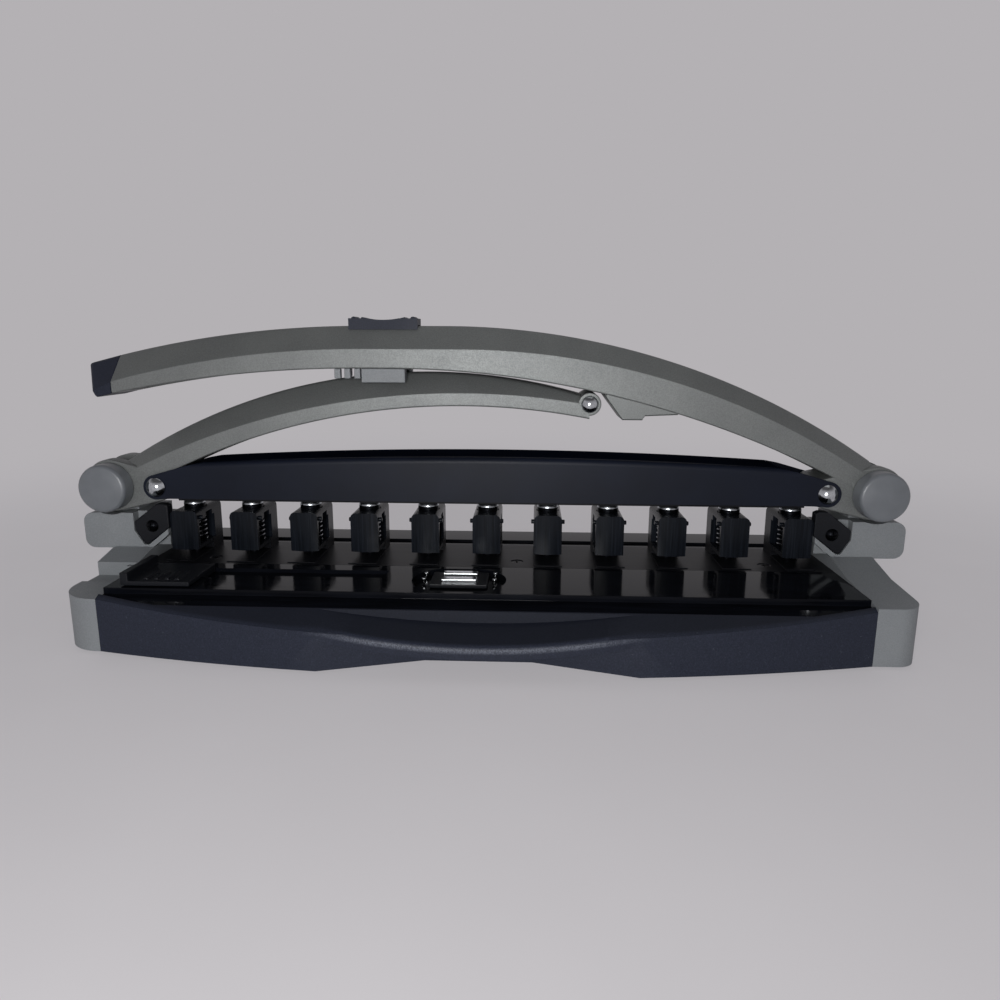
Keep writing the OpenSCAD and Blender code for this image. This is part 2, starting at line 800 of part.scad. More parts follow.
module left_pivot_shaft() {
    color(steel) at_row() mirror([1, 0, 0]) pivot_shaft();
}

// A domed cap on each end of a shaft
module pivot_caps() {
    edge = 1.4;
    for (side = [0, 1]) mirror([0, side, 0])
        translate([pivot_x, -arm_half - gap, pivot_z]) rotate([90, 0, 0]) difference() {
            union() {
                cylinder(r = cap_r, h = cap_l - 2 * edge, $fn = 96);
                translate([0, 0, cap_l - 2 * edge - eps])
                    cylinder(r1 = cap_r, r2 = cap_r - edge * 0.6, h = edge, $fn = 96);
                translate([0, 0, cap_l - edge - 2 * eps]) dome(cap_r - edge * 0.6, edge);
            }
            translate([0, 0, -1]) cylinder(r = shaft_r, h = 5 - gap, $fn = 64);
        }
}

module right_pivot_caps() {
    color(grey_cap) at_row() pivot_caps();
}

module left_pivot_caps() {
    color(grey_cap) at_row() mirror([1, 0, 0]) pivot_caps();
}

// Arms

// The knuckle and its link lug, drawn for the right-hand pivot
module knuckle_outline(grow = 0) {
    link_outline([pivot_x, pivot_z], knuckle_r + grow, [link_x, pivot_z], link_lug_r + grow);
}

// What is cut from an arm at its pivot: the shaft bore, the link bore and room for the tower's lug
module knuckle_cuts(link_r) {
    rod(pivot_x, pivot_z, shaft_r + run_fit, -arm_w, arm_w);
    rod(link_x, pivot_z, link_r, -arm_w, arm_w);
    rod(pivot_x, pivot_z, knuckle_r + 1.5, -cheek_in, cheek_in);
    block([pivot_x, -cheek_in, pivot_z - 20], [pivot_x + 20, cheek_in, pivot_z + knuckle_r + 1]);
}

// Slopes the upper half of an arm inwards along an arc, on both sides
module arc_bevel(x, z, r, x0, x1) {
    intersection() {
        block([x0, -arm_w, -far], [x1, arm_w, far]);
        translate([x, 0, z - r]) rotate([90, 0, 0]) for (side = [0, 1]) mirror([0, 0, side])
            rotate_extrude($fn = fine) polygon([
                [r, arm_half + eps], [r, arm_half], [r + crease_run, arm_half - crease_run * crease_slope],
                [r + crease_run, arm_half + eps]
            ]);
    }
}

module flat_bevel(z, x0, x1) {
    for (side = [0, 1]) mirror([0, side, 0]) along(x0, x1) polygon([
        [arm_half, z], [arm_half + eps, z], [arm_half + eps, z + crease_run],
        [arm_half - crease_run * crease_slope, z + crease_run]
    ]);
}

// The part of an outline between two places along X
module between(x0, x1) {
    intersection() {
        children();
        translate([x0, -far]) square([x1 - x0, 2 * far]);
    }
}

// Everything under the handle's top line, lowered by a depth
module under_handle_top(depth) {
    between(-far, flat_left + eps) arc_disc(flat_left, handle_top - depth, top_left_r - depth);
    translate([flat_left, 0]) square([flat_right - flat_left, handle_top - depth]);
    between(flat_right - eps, far) arc_disc(flat_right, handle_top - depth, top_right_r - depth);
}

// Everything under the handle's lower edge
module under_handle() {
    between(-far, flat_left + eps) arc_disc(flat_left, handle_low, low_left_r);
    translate([flat_left, 0]) square([low_right - flat_left, handle_low]);
    between(low_right - eps, far) arc_disc(low_right, handle_low, low_right_r);
}

// The handle from its slanted tip to its knuckle, solid
module handle_blank(x0, x1) {
    difference() {
        across(-arm_half, arm_half) difference() {
            between(x0, x1) under_handle_top(0);
            under_handle();
        }
        arc_bevel(flat_left, crease_z, crease_left_r, -far, flat_left + eps);
        flat_bevel(crease_z, flat_left, crease_right);
        arc_bevel(crease_right, crease_z, crease_right_r, crease_right - eps, pivot_x + 1);
    }
}

// Wedge under the handle that stops the roller
module roller_stop() {
    face_x = roller_x + eye_r + 1.5;
    low = roller_z - 6.3;
    across(-arm_half + 1, arm_half - 1) polygon([
        [face_x, roller_z + 3], [face_x + 7.1, low], [face_x + 15, low], [face_x + 16, low + 1.6],
        [face_x + 29, low + 2.2], [face_x + 34, low + 8], [face_x, low + 16]
    ]);
}

module front_handle() {
    color(grey) at_row() difference() {
        union() {
            difference() {
                handle_blank(-tip_joint, pivot_x);
                // Channel in the underside
                across(-arm_half + channel_wall, arm_half - channel_wall)
                    between(-tip_joint + 6, pivot_x - 42) under_handle_top(handle_t - handle_band);
            }
            // Stiffening ribs across the channel
            for (x = rib_xs)
                across(-arm_half + 1, arm_half - 1) intersection() {
                    translate([x - rib_t / 2, 0]) square([rib_t, handle_top]);
                    difference() {
                        under_handle_top(handle_t - handle_band - 1);
                        translate([0, 2]) under_handle();
                    }
                }
            across(-arm_half, arm_half) knuckle_outline();
            intersection() {
                roller_stop();
                across(-arm_w, arm_w) under_handle_top(5);
            }
        }
        knuckle_cuts(link_pin_r + run_fit);
        // Slot that the lock's hook slides in
        block([lock_x - hook_t / 2 - lock_travel - gap, -hook_half - gap, handle_low - 1],
              [lock_x + hook_t / 2 + gap, hook_half + gap, handle_top + 1]);
    }
}

module handle_tip() {
    slant = 7;
    color(navy) at_row() difference() {
        handle_blank(-handle_reach, -tip_joint);
        // The end is cut back towards its lower edge
        across(-arm_w, arm_w) polygon([
            [-handle_reach, handle_top - tip_drop], [-handle_reach + 2 * slant, handle_top - tip_drop - 26],
            [-handle_reach - 30, handle_top - tip_drop - 26], [-handle_reach - 30, handle_top]
        ]);
    }
}

// Pads under the handle's side walls that come to rest over the rear arm, with three ribs beside them
module handle_bumper() {
    pad_hang = 4;
    pad_low = rear_top - pad_hang;
    rib_pitch = 4;
    color(grey) at_row() difference() {
        intersection() {
            for (side = [0, 1]) mirror([0, side, 0]) {
                block([lock_x - 8, arm_half - 4.5, pad_low], [lock_x + 9.5, arm_half, handle_top]);
                for (k = [1 : 3])
                    block([lock_x - 7 - rib_pitch * k, arm_half - 3, pad_low + 1.5],
                          [lock_x - 4.5 - rib_pitch * k, arm_half - 0.4, handle_top]);
            }
            across(-arm_w, arm_w) under_handle();
        }
        rear_clearance();
    }
}

// The space that the rear arm takes, grown a little, in the plane of the pad
module rear_clearance() {
    grow = 0.5;
    difference() {
        across(-arm_half - grow, arm_half + grow) arc_disc(rear_x, rear_top + grow, rear_top_r + grow);
        for (side = [0, 1]) mirror([0, side, 0])
            translate([rear_low_x, 0, rear_crease - rear_crease_r]) rotate([90, 0, 0])
                rotate_extrude($fn = fine) polygon([
                    [rear_crease_r + grow, arm_half + grow + eps], [rear_crease_r + grow, arm_half + grow],
                    [rear_crease_r + grow + crease_run, arm_half + grow - crease_run * crease_slope],
                    [rear_crease_r + grow + crease_run, arm_half + grow + eps]
                ]);
    }
}

// Thumb button with finger bumps along its top
module lock_button() {
    button_h = 2.6;
    button_w = 9.4;
    skirt = 1.8;
    seat = handle_top + gap;
    // The handle's sloping sides, grown by the gap
    crown = arm_half - crease_slope * (handle_top - crease_z) + gap * (norm([1, crease_slope]) - crease_slope);
    bumps = 7;
    hollow_r = 34.8;
    color(navy) at_row() difference() {
        union() {
            block([lock_x - button_l / 2, -button_w / 2, seat - skirt],
                  [lock_x + button_l / 2, button_w / 2, seat + button_h]);
            for (k = [0 : bumps - 1])
                rod(lock_x - button_l / 2 + (k + 0.5) * button_l / bumps, seat + button_h - 0.4, 1.1,
                    -button_w / 2 + 1, button_w / 2 - 1);
        }
        // Sits astride the handle's top
        along(lock_x - button_l, lock_x + button_l) polygon([
            [-crown, seat], [crown, seat], [crown + 10 * crease_slope, seat - 10],
            [-crown - 10 * crease_slope, seat - 10]
        ]);
        // Hollowed for the thumb
        rod(lock_x, seat + button_h + hollow_r - 0.6, hollow_r, -far / 2, far / 2);
        block([lock_x - hook_t / 2, -hook_half, seat - 1],
              [lock_x + hook_t / 2, hook_half, seat + button_seat]);
    }
}

// Stem through the handle, with a toe that slides under the rear arm's roof
module lock_hook() {
    toe_end = lock_x - hook_t / 2 - hook_toe;
    toe_top = rear_top - roof_t - rear_drop(toe_end - lock_travel) - hook_gap;
    color(steel) at_row() {
        block([lock_x - hook_t / 2, -hook_half, toe_top - toe_t],
              [lock_x + hook_t / 2, hook_half, handle_top + gap + button_seat]);
        block([toe_end, -hook_half, toe_top - toe_t], [lock_x, hook_half, toe_top]);
    }
}

module under_rear_top(depth) {
    arc_disc(rear_x, rear_top - depth, rear_top_r - depth);
}

module under_rear() {
    arc_disc(rear_low_x, rear_low, rear_low_r);
}

module rear_arm() {
    // The hook leaves its slot towards the right as the arms part
    hook_room = 5;
    color(grey) at_row() difference() {
        union() {
            difference() {
                across(-arm_half, arm_half) difference() {
                    between(-pivot_x, roller_x) under_rear_top(0);
                    under_rear();
                }
                arc_bevel(rear_low_x, rear_crease, rear_crease_r, -pivot_x - 1, roller_x - 3);
                across(-arm_half + rear_wall, arm_half - rear_wall)
                    between(-pivot_x + 42, roller_x - 10) under_rear_top(roof_t);
            }
            across(-arm_half, arm_half) mirror([1, 0, 0]) knuckle_outline();
            rod(roller_x, roller_z, eye_r, -arm_half, arm_half);
        }
        mirror([1, 0, 0]) knuckle_cuts(link_pin_r);
        rod(roller_x, roller_z, roller_r, -arm_w, arm_w);
        // Slot that the lock's hook drops into
        block([lock_x - hook_t / 2 - lock_travel - gap, -hook_half - gap, rear_top - roof_t - 4],
              [lock_x + hook_t / 2 + hook_room, hook_half + gap, rear_top + 5]);
    }
}

// Polished pin across the rear arm's end, domed at both ends
module roller_pin() {
    color(steel) at_row() {
        rod(roller_x, roller_z, roller_r, -arm_half - 0.3, arm_half + 0.3);
        for (side = [0, 1]) mirror([0, side, 0])
            translate([roller_x, -arm_half - 0.3 + eps, roller_z]) rotate([90, 0, 0]) dome(roller_r, 2);
    }
}

// Pressure bar and links

// One web of the bar seen from the front, with an ear at each end
module web_outline() {
    crown_r = arc_r(flange_half, bar_crown);
    intersection() {
        arc_disc(0, bar_top, crown_r);
        translate([-flange_half, bar_z]) square([2 * flange_half, bar_h + 1]);
    }
    for (side = [0, 1]) mirror([side, 0]) {
        translate([link_x, pivot_z]) circle(r = ear_r, $fn = 96);
        polygon([
            [flange_half - 1, bar_z], [link_x - 6, bar_z], [link_x - 1, pivot_z - ear_r + 0.1],
            [link_x + 1, pivot_z], [link_x + ear_r * 0.45, pivot_z + ear_r * 0.89],
            [flange_half + 6, bar_top - bar_crown - 1.2], [flange_half - 1, bar_top - bar_crown]
        ]);
    }
}

module pressure_bar() {
    color("#262a38") at_row() difference() {
        union() {
            across(-bar_out, -bar_in) web_outline();
            across(bar_in, bar_out) web_outline();
            // Flange over the top, level with the webs' crowned edge
            across(-bar_out, bar_out) intersection() {
                difference() {
                    arc_disc(0, bar_top, arc_r(flange_half, bar_crown));
                    arc_disc(0, bar_top - bar_t, arc_r(flange_half, bar_crown) - bar_t);
                }
                translate([-flange_half, bar_z]) square([2 * flange_half, bar_h + 1]);
            }
        }
        rod(link_x, pivot_z, link_pin_r, -far / 2, far / 2);
        for (dx = [0, slot_run]) rod(-link_x - dx, pivot_z, link_pin_r + slot_clear, -far / 2, far / 2);
        block([-link_x - slot_run, -far / 2, pivot_z - link_pin_r - slot_clear],
              [-link_x, far / 2, pivot_z + link_pin_r + slot_clear]);
    }
}

// Strip inside the bar that bears on the domed ends
module presser_strip() {
    color(black) at_row()
        block([-row_half - strip_end, -bar_in, presser_z], [row_half + strip_end, bar_in, presser_z + strip_t]);
}

// A headed pin through the bar's ears, with a dome in front and a flat rivet head behind
module link_pin(x, seat) {
    rod(x, pivot_z, link_pin_r, -seat, seat);
    translate([x, -seat + eps, pivot_z]) rotate([90, 0, 0]) dome(link_head_r, 2.4);
    rod(x, pivot_z, link_head_r, seat - eps, seat + 1.4);
}

module right_link_pin() {
    color(steel) at_row() link_pin(link_x, bar_out);
}

module left_link_pin() {
    color(steel) at_row() link_pin(-link_x, bar_out + gap);
}

// Paper guides

module edge_guide() {
    fence_h = 5;
    skirt = 13;
    y0 = track_front - skirt;
    y1 = track_front + track_w;
    color(black) at_row() {
        // Runner in the track
        block([guide_left, track_front + gap, deck_top - track_depth + gap],
              [guide_left + guide_l, y1 - gap, deck_top + gap + 1]);
        // Plate over the deck, with a fence for the paper
        block([guide_left, y0, deck_top + gap], [guide_left + guide_l, y1 - gap, deck_top + gap + 1.8]);
        block([guide_left, y0, deck_top + gap], [guide_left + 3, y1 - gap, deck_top + gap + fence_h]);
        for (k = [0 : 3])
            block([guide_left + 8 + 4 * k, y0 + 2, deck_top + gap + 1],
                  [guide_left + 9.6 + 4 * k, y0 + 12, deck_top + gap + 2.6]);
    }
}

module depth_slider() {
    slider_w = 22;
    slider_d = 16;
    color("#34363c") at_row() {
        block([slider_x - slider_w / 2, slider_y - slider_d / 2 + 3, deck_top - pocket_depth + gap],
              [slider_x + slider_w / 2, slider_y + slider_d / 2 + 3, deck_top - 0.4]);
        for (y = [-1.5, 6])
            block([slider_x - 6.5, slider_y + y, deck_top - 1], [slider_x + 6.5, slider_y + y + 3, deck_top + 0.6]);
    }
}

module chip_tray() {
    t = 1.6;
    y1 = rear_reach - 0.5;
    color(black) at_row() difference() {
        block([-tray_x, tray_front, tray_z], [tray_x, y1, tray_z + tray_h]);
        block([-tray_x + t, tray_front + t, tray_z + t], [tray_x - t, y1 - 2 * t, tray_z + tray_h + 1]);
        // Finger notch in the back
        rod(0, tray_z + tray_h + 4, 9, y1 - t, y1 + 1);
    }
}

base_shell();
left_side_housing();
right_side_housing();
deck_plate();
rear_cover();
bottom_cover();
bottom_screws();
rubber_feet();
die_plate();
die_inserts();
die_screws();
throat_spacers();
head_screws();
punch_head(0);  // punch_head_01
punch_head(1);  // punch_head_02
punch_head(2);  // punch_head_03
punch_head(3);  // punch_head_04
punch_head(4);  // punch_head_05
punch_head(5);  // punch_head_06
punch_head(6);  // punch_head_07
punch_head(7);  // punch_head_08
punch_head(8);  // punch_head_09
punch_head(9);  // punch_head_10
punch_head(10);  // punch_head_11
return_springs();
left_end_bracket();
right_end_bracket();
bracket_screws();
left_pivot_shaft();
right_pivot_shaft();
left_pivot_caps();
right_pivot_caps();
edge_guide();
depth_slider();
chip_tray();
front_handle();
handle_tip();
handle_bumper();
lock_button();
lock_hook();
rear_arm();
roller_pin();
left_link_pin();
right_link_pin();
pressure_bar();
presser_strip();
punch_pin(0);  // punch_pin_01
punch_pin(1);  // punch_pin_02
punch_pin(2);  // punch_pin_03
punch_pin(3);  // punch_pin_04
punch_pin(4);  // punch_pin_05
punch_pin(5);  // punch_pin_06
punch_pin(6);  // punch_pin_07
punch_pin(7);  // punch_pin_08
punch_pin(8);  // punch_pin_09
punch_pin(9);  // punch_pin_10
punch_pin(10);  // punch_pin_11
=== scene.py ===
# %% [markdown]
# # A disc binding punch This lesson dresses a desktop punch: a bowed navy base, a row of eleven sprung
# cutters, a channel-shaped pressure bar, and two long grey arms that cross over it. The engineering model
# gives the frame. Each cell makes one piece or one finish. Blender works in metres here, so sizes, which are
# written in millimetres, are divided by a thousand.

# %% Load the frame
import json
import math

import bmesh
import bpy
from mathutils import Matrix, Vector

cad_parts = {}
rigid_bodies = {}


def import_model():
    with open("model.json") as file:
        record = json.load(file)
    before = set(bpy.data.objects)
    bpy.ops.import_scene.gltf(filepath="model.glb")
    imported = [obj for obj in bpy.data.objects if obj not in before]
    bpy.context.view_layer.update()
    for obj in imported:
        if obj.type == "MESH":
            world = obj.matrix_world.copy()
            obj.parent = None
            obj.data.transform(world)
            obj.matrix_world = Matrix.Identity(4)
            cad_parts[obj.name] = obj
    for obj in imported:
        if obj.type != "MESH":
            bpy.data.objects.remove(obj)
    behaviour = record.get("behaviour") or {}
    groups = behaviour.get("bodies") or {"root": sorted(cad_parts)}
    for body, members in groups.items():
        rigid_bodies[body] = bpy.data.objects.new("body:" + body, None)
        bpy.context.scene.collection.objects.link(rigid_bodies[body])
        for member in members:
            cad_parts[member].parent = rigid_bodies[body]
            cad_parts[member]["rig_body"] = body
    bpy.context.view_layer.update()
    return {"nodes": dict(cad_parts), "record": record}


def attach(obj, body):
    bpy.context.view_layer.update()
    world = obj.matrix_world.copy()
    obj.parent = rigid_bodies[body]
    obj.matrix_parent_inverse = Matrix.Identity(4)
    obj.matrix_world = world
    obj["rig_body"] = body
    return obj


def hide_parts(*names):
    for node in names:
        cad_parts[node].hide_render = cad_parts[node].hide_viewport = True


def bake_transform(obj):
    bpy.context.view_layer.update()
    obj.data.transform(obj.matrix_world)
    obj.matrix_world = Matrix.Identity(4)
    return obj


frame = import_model()
nodes = frame["nodes"]

# %% [markdown]
# ## The camera The picture was taken from the front, a little above the handle and close by, so the lens is
# short. A longer lens from further away would flatten the two crossing arms. The turn is built from three
# simple turns, because that keeps the tilt, the swing and the small roll apart.

# %% Set the camera
tilt = Matrix.Rotation(math.radians(78), 4, "X")
swing = Matrix.Rotation(math.radians(2.29), 4, "Z")
roll = Matrix.Rotation(math.radians(0.2), 4, "Z")
bpy.ops.object.camera_add(location=(0.0176, -0.29485, 0.1134), rotation=(swing @ tilt @ roll).to_euler())
camera = bpy.context.object
camera.data.lens = 27
camera.data.sensor_width = 36
bpy.context.scene.camera = camera
bpy.context.scene.view_settings.view_transform = "Standard"
print("camera at", [round(v, 3) for v in camera.location])

# %% [markdown]
# ## Colours and nodes Colours are picked as sRGB hex values, the way a paint shop writes them, but shaders
# reckon in linear light, so one function converts them. A second function adds a shader node, sets its
# options and sockets, and makes its links. A socket given as a number stays a plain value. One given as an
# output of another node becomes a link, and a node alone stands for its first output. Two more functions
# start a finish and keep it once it has its shader.


# %% Helpers for finishes
def linear(hexcode):
    """An sRGB hex colour as linear light."""
    parts = [int(hexcode[k:k + 2], 16) / 255 for k in (1, 3, 5)]
    return [c / 12.92 if c <= 0.04045 else ((c + 0.055) / 1.055) ** 2.4 for c in parts] + [1]


def add(tree, kind, sockets=None, stops=(), **options):
    """Add a node with its options, values and links, and a ramp's (position, hex) stops."""
    node = tree.nodes.new(kind)
    for name, value in options.items():
        setattr(node, name, value)
    for count, (position, hexcode) in enumerate(stops):
        elements = node.color_ramp.elements
        element = elements[count] if count < len(elements) else elements.new(position)
        element.position, element.color = position, linear(hexcode)
    for name, value in (sockets or {}).items():
        if isinstance(value, bpy.types.Node):
            value = value.outputs[0]
        if isinstance(value, bpy.types.NodeSocket):
            tree.links.new(value, node.inputs[name])
        else:
            node.inputs[name].default_value = value
    return node


def new_finish(name):
    """An empty material and the place of a point on the piece, in metres."""
    material = bpy.data.materials.new(name)
    material.use_nodes = True
    tree = material.node_tree
    tree.nodes.clear()
    return material, tree, add(tree, "ShaderNodeTexCoord").outputs["Object"]


def per(size_mm):
    """Scale of a pattern whose marks are this many millimetres across."""
    return 1000 / size_mm


finishes = {}


def keep(slot, material, shade):
    """Wire a shader to the surface of its material, and keep the finish for a slot."""
    add(material.node_tree, "ShaderNodeOutputMaterial", {"Surface": shade})
    finishes[slot] = material
    print("finish:", material.name)


print("helpers for finishes ready")

# %% [markdown]
# ## The floor The punch stands on a plain pale table. Paint is nearly even, so a faint mottle is all its pattern. Far out the table glows in the pale tone of the room, so that no horizon is seen. The table under the near lamp, which would else be lit to white, glows too. Near the punch and under that lamp the glow has a lighter tone, a painted pool of light, and close to the punch half of what the eye sees is that glow. Only what the eye sees glows, so the table sends no more light to the punch than paint would.


# %% Make the floor
def seen_rays(tree):
    """1 for what the eye looks along, also by way of metal or glass, and 0 for light."""
    ray = add(tree, "ShaderNodeLightPath")
    seen = add(tree, "ShaderNodeMath", {0: ray.outputs["Is Camera Ray"], 1: ray.outputs["Is Glossy Ray"]},
               operation="MAXIMUM")
    return add(tree, "ShaderNodeMath", {0: seen, 1: ray.outputs["Is Transmission Ray"]}, operation="MAXIMUM")


# The lighter tone is a painted pool of light that glows near the punch and under the near lamp. The paler one
# glows far out.
PALE, NEAR_LIGHT_POOL = "#b4b1b4", "#c6c3c7"
GLOW_FROM, GLOW_FULL = 0.2, 0.7
LAMPLIT_FROM, LAMPLIT_FULL = -0.19, -0.26
bpy.ops.object.select_all(action="DESELECT")
bpy.ops.mesh.primitive_plane_add(size=8, location=(0, 0, -0.0002))
floor = bpy.context.object
floor.name = "floor"
table, tree, place = new_finish("painted_table")
mottle = add(tree, "ShaderNodeTexNoise", {"Vector": place, "Scale": per(60), "Detail": 4})
tone = add(tree, "ShaderNodeValToRGB", {"Fac": mottle}, [(0.3, "#e6e3e5"), (0.7, "#ebe8ea")])
shade = add(tree, "ShaderNodeBsdfPrincipled", {"Base Color": tone, "Roughness": 0.6})
away = add(tree, "ShaderNodeVectorMath", {0: place}, operation="LENGTH")
far = add(tree, "ShaderNodeMapRange",
          {"Value": away.outputs["Value"], "From Min": GLOW_FROM, "From Max": GLOW_FULL},
          interpolation_type="SMOOTHSTEP")
paint = add(tree, "ShaderNodeMix", {0: far, 6: linear(NEAR_LIGHT_POOL), 7: linear(PALE)}, data_type="RGBA")
glow = add(tree, "ShaderNodeEmission", {"Color": paint.outputs[2]})
part = add(tree, "ShaderNodeMapRange", {"Value": far, "To Min": 0.5})
ahead = add(tree, "ShaderNodeSeparateXYZ", {"Vector": place})
lamplit = add(tree, "ShaderNodeMapRange", {"Value": ahead.outputs["Y"], "From Min": LAMPLIT_FROM,
                                           "From Max": LAMPLIT_FULL})
part = add(tree, "ShaderNodeMath", {0: part, 1: lamplit}, operation="MAXIMUM")
share = add(tree, "ShaderNodeMath", {0: part, 1: seen_rays(tree)}, operation="MULTIPLY")
blend = add(tree, "ShaderNodeMixShader", {0: share, 1: shade, 2: glow})
add(tree, "ShaderNodeOutputMaterial", {"Surface": blend})
floor.data.materials.append(table)
print("floor", [round(v, 2) for v in floor.dimensions], "m")

# %% [markdown]
# ## Light and room The picture was lit from close to the camera, so the faces turned to it are bright and
# the tops are darker. One soft lamp near the camera gives that, with a broad one overhead for the shadows.
# The world is pale to the camera and in reflections, and dimmer as a light, so that colours keep their
# value. It falls off towards the ceiling, so that tops stay darker than fronts.

# %% Hang the lamps and light the room
for name, hung_at, target, size, watts in (
    ("lamp_front", (-0.03, -0.42, 0.115), (0, 0, 0.07), 0.13, 1.0),
    ("lamp_top", (0.1, 0.3, 1.0), (0, 0, 0), 0.9, 0.9),
):
    bpy.ops.object.light_add(type="AREA", location=hung_at)
    lamp = bpy.context.object
    lamp.name = name
    lamp.data.size = size
    lamp.data.energy = watts
    lamp.rotation_euler = (Vector(target) - Vector(hung_at)).to_track_quat("-Z", "Y").to_euler()

world = bpy.data.worlds.new("pale_room")
bpy.context.scene.world = world
world.use_nodes = True
tree = world.node_tree
tree.nodes.clear()
strength = add(tree, "ShaderNodeMapRange", {"Value": seen_rays(tree), "To Min": 0.6, "To Max": 1.0})
way = add(tree, "ShaderNodeSeparateXYZ", {"Vector": add(tree, "ShaderNodeTexCoord").outputs["Object"]})
dusk = add(tree, "ShaderNodeMapRange", {"Value": way.outputs["Z"], "From Min": 0.4, "From Max": 0.85,
                                        "To Min": 1.0, "To Max": 0.2}, interpolation_type="SMOOTHSTEP")
level = add(tree, "ShaderNodeMath", {0: strength, 1: dusk}, operation="MULTIPLY")
sky = add(tree, "ShaderNodeBackground", {"Color": linear(PALE), "Strength": level})
add(tree, "ShaderNodeOutputWorld", {"Surface": sky})
print("two lamps and a pale world")

# %% [markdown]
# ## Two greys The ends of the base are a plain grey ABS with a fine etch. The arms are a silver grey:
# aluminium flake is mixed into the plastic, so a face that looks at the lamp is bright and one that leans
# away goes dark, far more than plain grey would. Both have the same pattern and differ in how much of the
# shader is metal, so one loop makes them. The fine noise is drawn a little coarser than the real etch and
# flake so that it shows.

# %% Grey ABS, plain and with flake
for slot, name, dark, light, metal, smooth, coarse in (
    ("grey_plastic", "grey_abs_etched", "#7f8386", "#898d90", 0.0, 0.5, 0.6),
    ("grey_flake", "silver_grey_abs_aluminium_flake", "#727574", "#7f8281", 0.45, 0.44, 0.54),
):
    material, tree, place = new_finish(name)
    flake = add(tree, "ShaderNodeTexNoise", {"Vector": place, "Scale": per(0.4), "Detail": 1})
    cloud = add(tree, "ShaderNodeTexNoise", {"Vector": place, "Scale": per(18), "Detail": 3})
    grain = add(tree, "ShaderNodeValToRGB", {"Fac": flake}, [(0.3, dark), (0.7, light)])
    drift = add(tree, "ShaderNodeValToRGB", {"Fac": cloud}, [(0.3, "#f2f2f3"), (0.7, "#ffffff")])
    tone = add(tree, "ShaderNodeMix", {0: 1.0, 6: grain, 7: drift}, data_type="RGBA", blend_type="MULTIPLY")
    rough = add(tree, "ShaderNodeMapRange", {"Value": flake, "From Min": 0.3, "From Max": 0.7,
                                             "To Min": coarse, "To Max": smooth})
    bump = add(tree, "ShaderNodeBump", {"Height": flake, "Strength": 0.12, "Distance": 0.00004})
    shade = add(tree, "ShaderNodeBsdfPrincipled", {"Base Color": tone.outputs[2], "Roughness": rough,
                                                   "Metallic": metal, "Normal": bump})
    keep(slot, material, shade)

# %% [markdown]
# ## Grey polished caps The pivot caps are a smoother grey with a waxy gloss: light goes in a little way and
# comes out again, so their edges look soft. A touch of subsurface scattering and a low roughness with faint
# smears from fingers do that.

# %% Polished nylon
material, tree, place = new_finish("grey_nylon_polished")
smear = add(tree, "ShaderNodeTexNoise", {"Vector": place, "Scale": per(6), "Detail": 3})
tone = add(tree, "ShaderNodeValToRGB", {"Fac": smear}, [(0.3, "#6b6f74"), (0.7, "#72767b")])
rough = add(tree, "ShaderNodeMapRange", {"Value": smear, "To Min": 0.3, "To Max": 0.42})
shade = add(tree, "ShaderNodeBsdfPrincipled", {
    "Base Color": tone, "Roughness": rough, "IOR": 1.53, "Subsurface Weight": 0.12,
    "Subsurface Radius": (0.8, 0.8, 0.9), "Subsurface Scale": 0.0012,
    "Coat Weight": 0.12, "Coat Roughness": 0.2})
keep("grey_gloss", material, shade)

# %% [markdown]
# ## Navy moulded plastic The base is a dark navy ABS with a fine matte etch and a little dust, so it shows a
# few light specks. Its colour is nearly black in the shade, which is why the blue has to sit in the base
# colour and not in the light. The etch is drawn with marks of half a millimetre, coarser than it is, so that
# it shows.

# %% Navy ABS, its etch and dust
material, tree, place = new_finish("navy_abs_etched")
etch = add(tree, "ShaderNodeTexNoise", {"Vector": place, "Scale": per(0.5), "Detail": 2, "Roughness": 0.65})
dust = add(tree, "ShaderNodeTexNoise", {"Vector": place, "Scale": per(1.1), "Detail": 1})
cloud = add(tree, "ShaderNodeTexNoise", {"Vector": place, "Scale": per(30), "Detail": 3})
grain = add(tree, "ShaderNodeValToRGB", {"Fac": etch},
            [(0.32, "#20242f"), (0.55, "#262a37"), (0.72, "#2e3240")])
speck = add(tree, "ShaderNodeValToRGB", {"Fac": dust}, [(0.74, "#000000"), (0.8, "#5c606b")])
tone = add(tree, "ShaderNodeMix", {0: 0.3, 6: grain, 7: speck}, data_type="RGBA", blend_type="LIGHTEN")
print("etched", material.name)

# %% [markdown]
# ## Painted highlight on the lip, painted shade in the dish A pale band along the lip of the dish is a painted highlight, broken up by the etch. The lip climbs with the square of the distance from the middle, so the pale band is drawn from the place of each point: how far it lies from the line of the lip, and whether it is at the front. In the same way the dish and the slope behind the bowed front are drawn darker, as painted shade.

# %% Navy ABS, with a painted highlight on the lip and painted shade in the dish
LIP_BOW, LIP_LOW, LIP_HIGH = 1.55, 0.0103, 0.0148
FRONT_BOW = 0.804
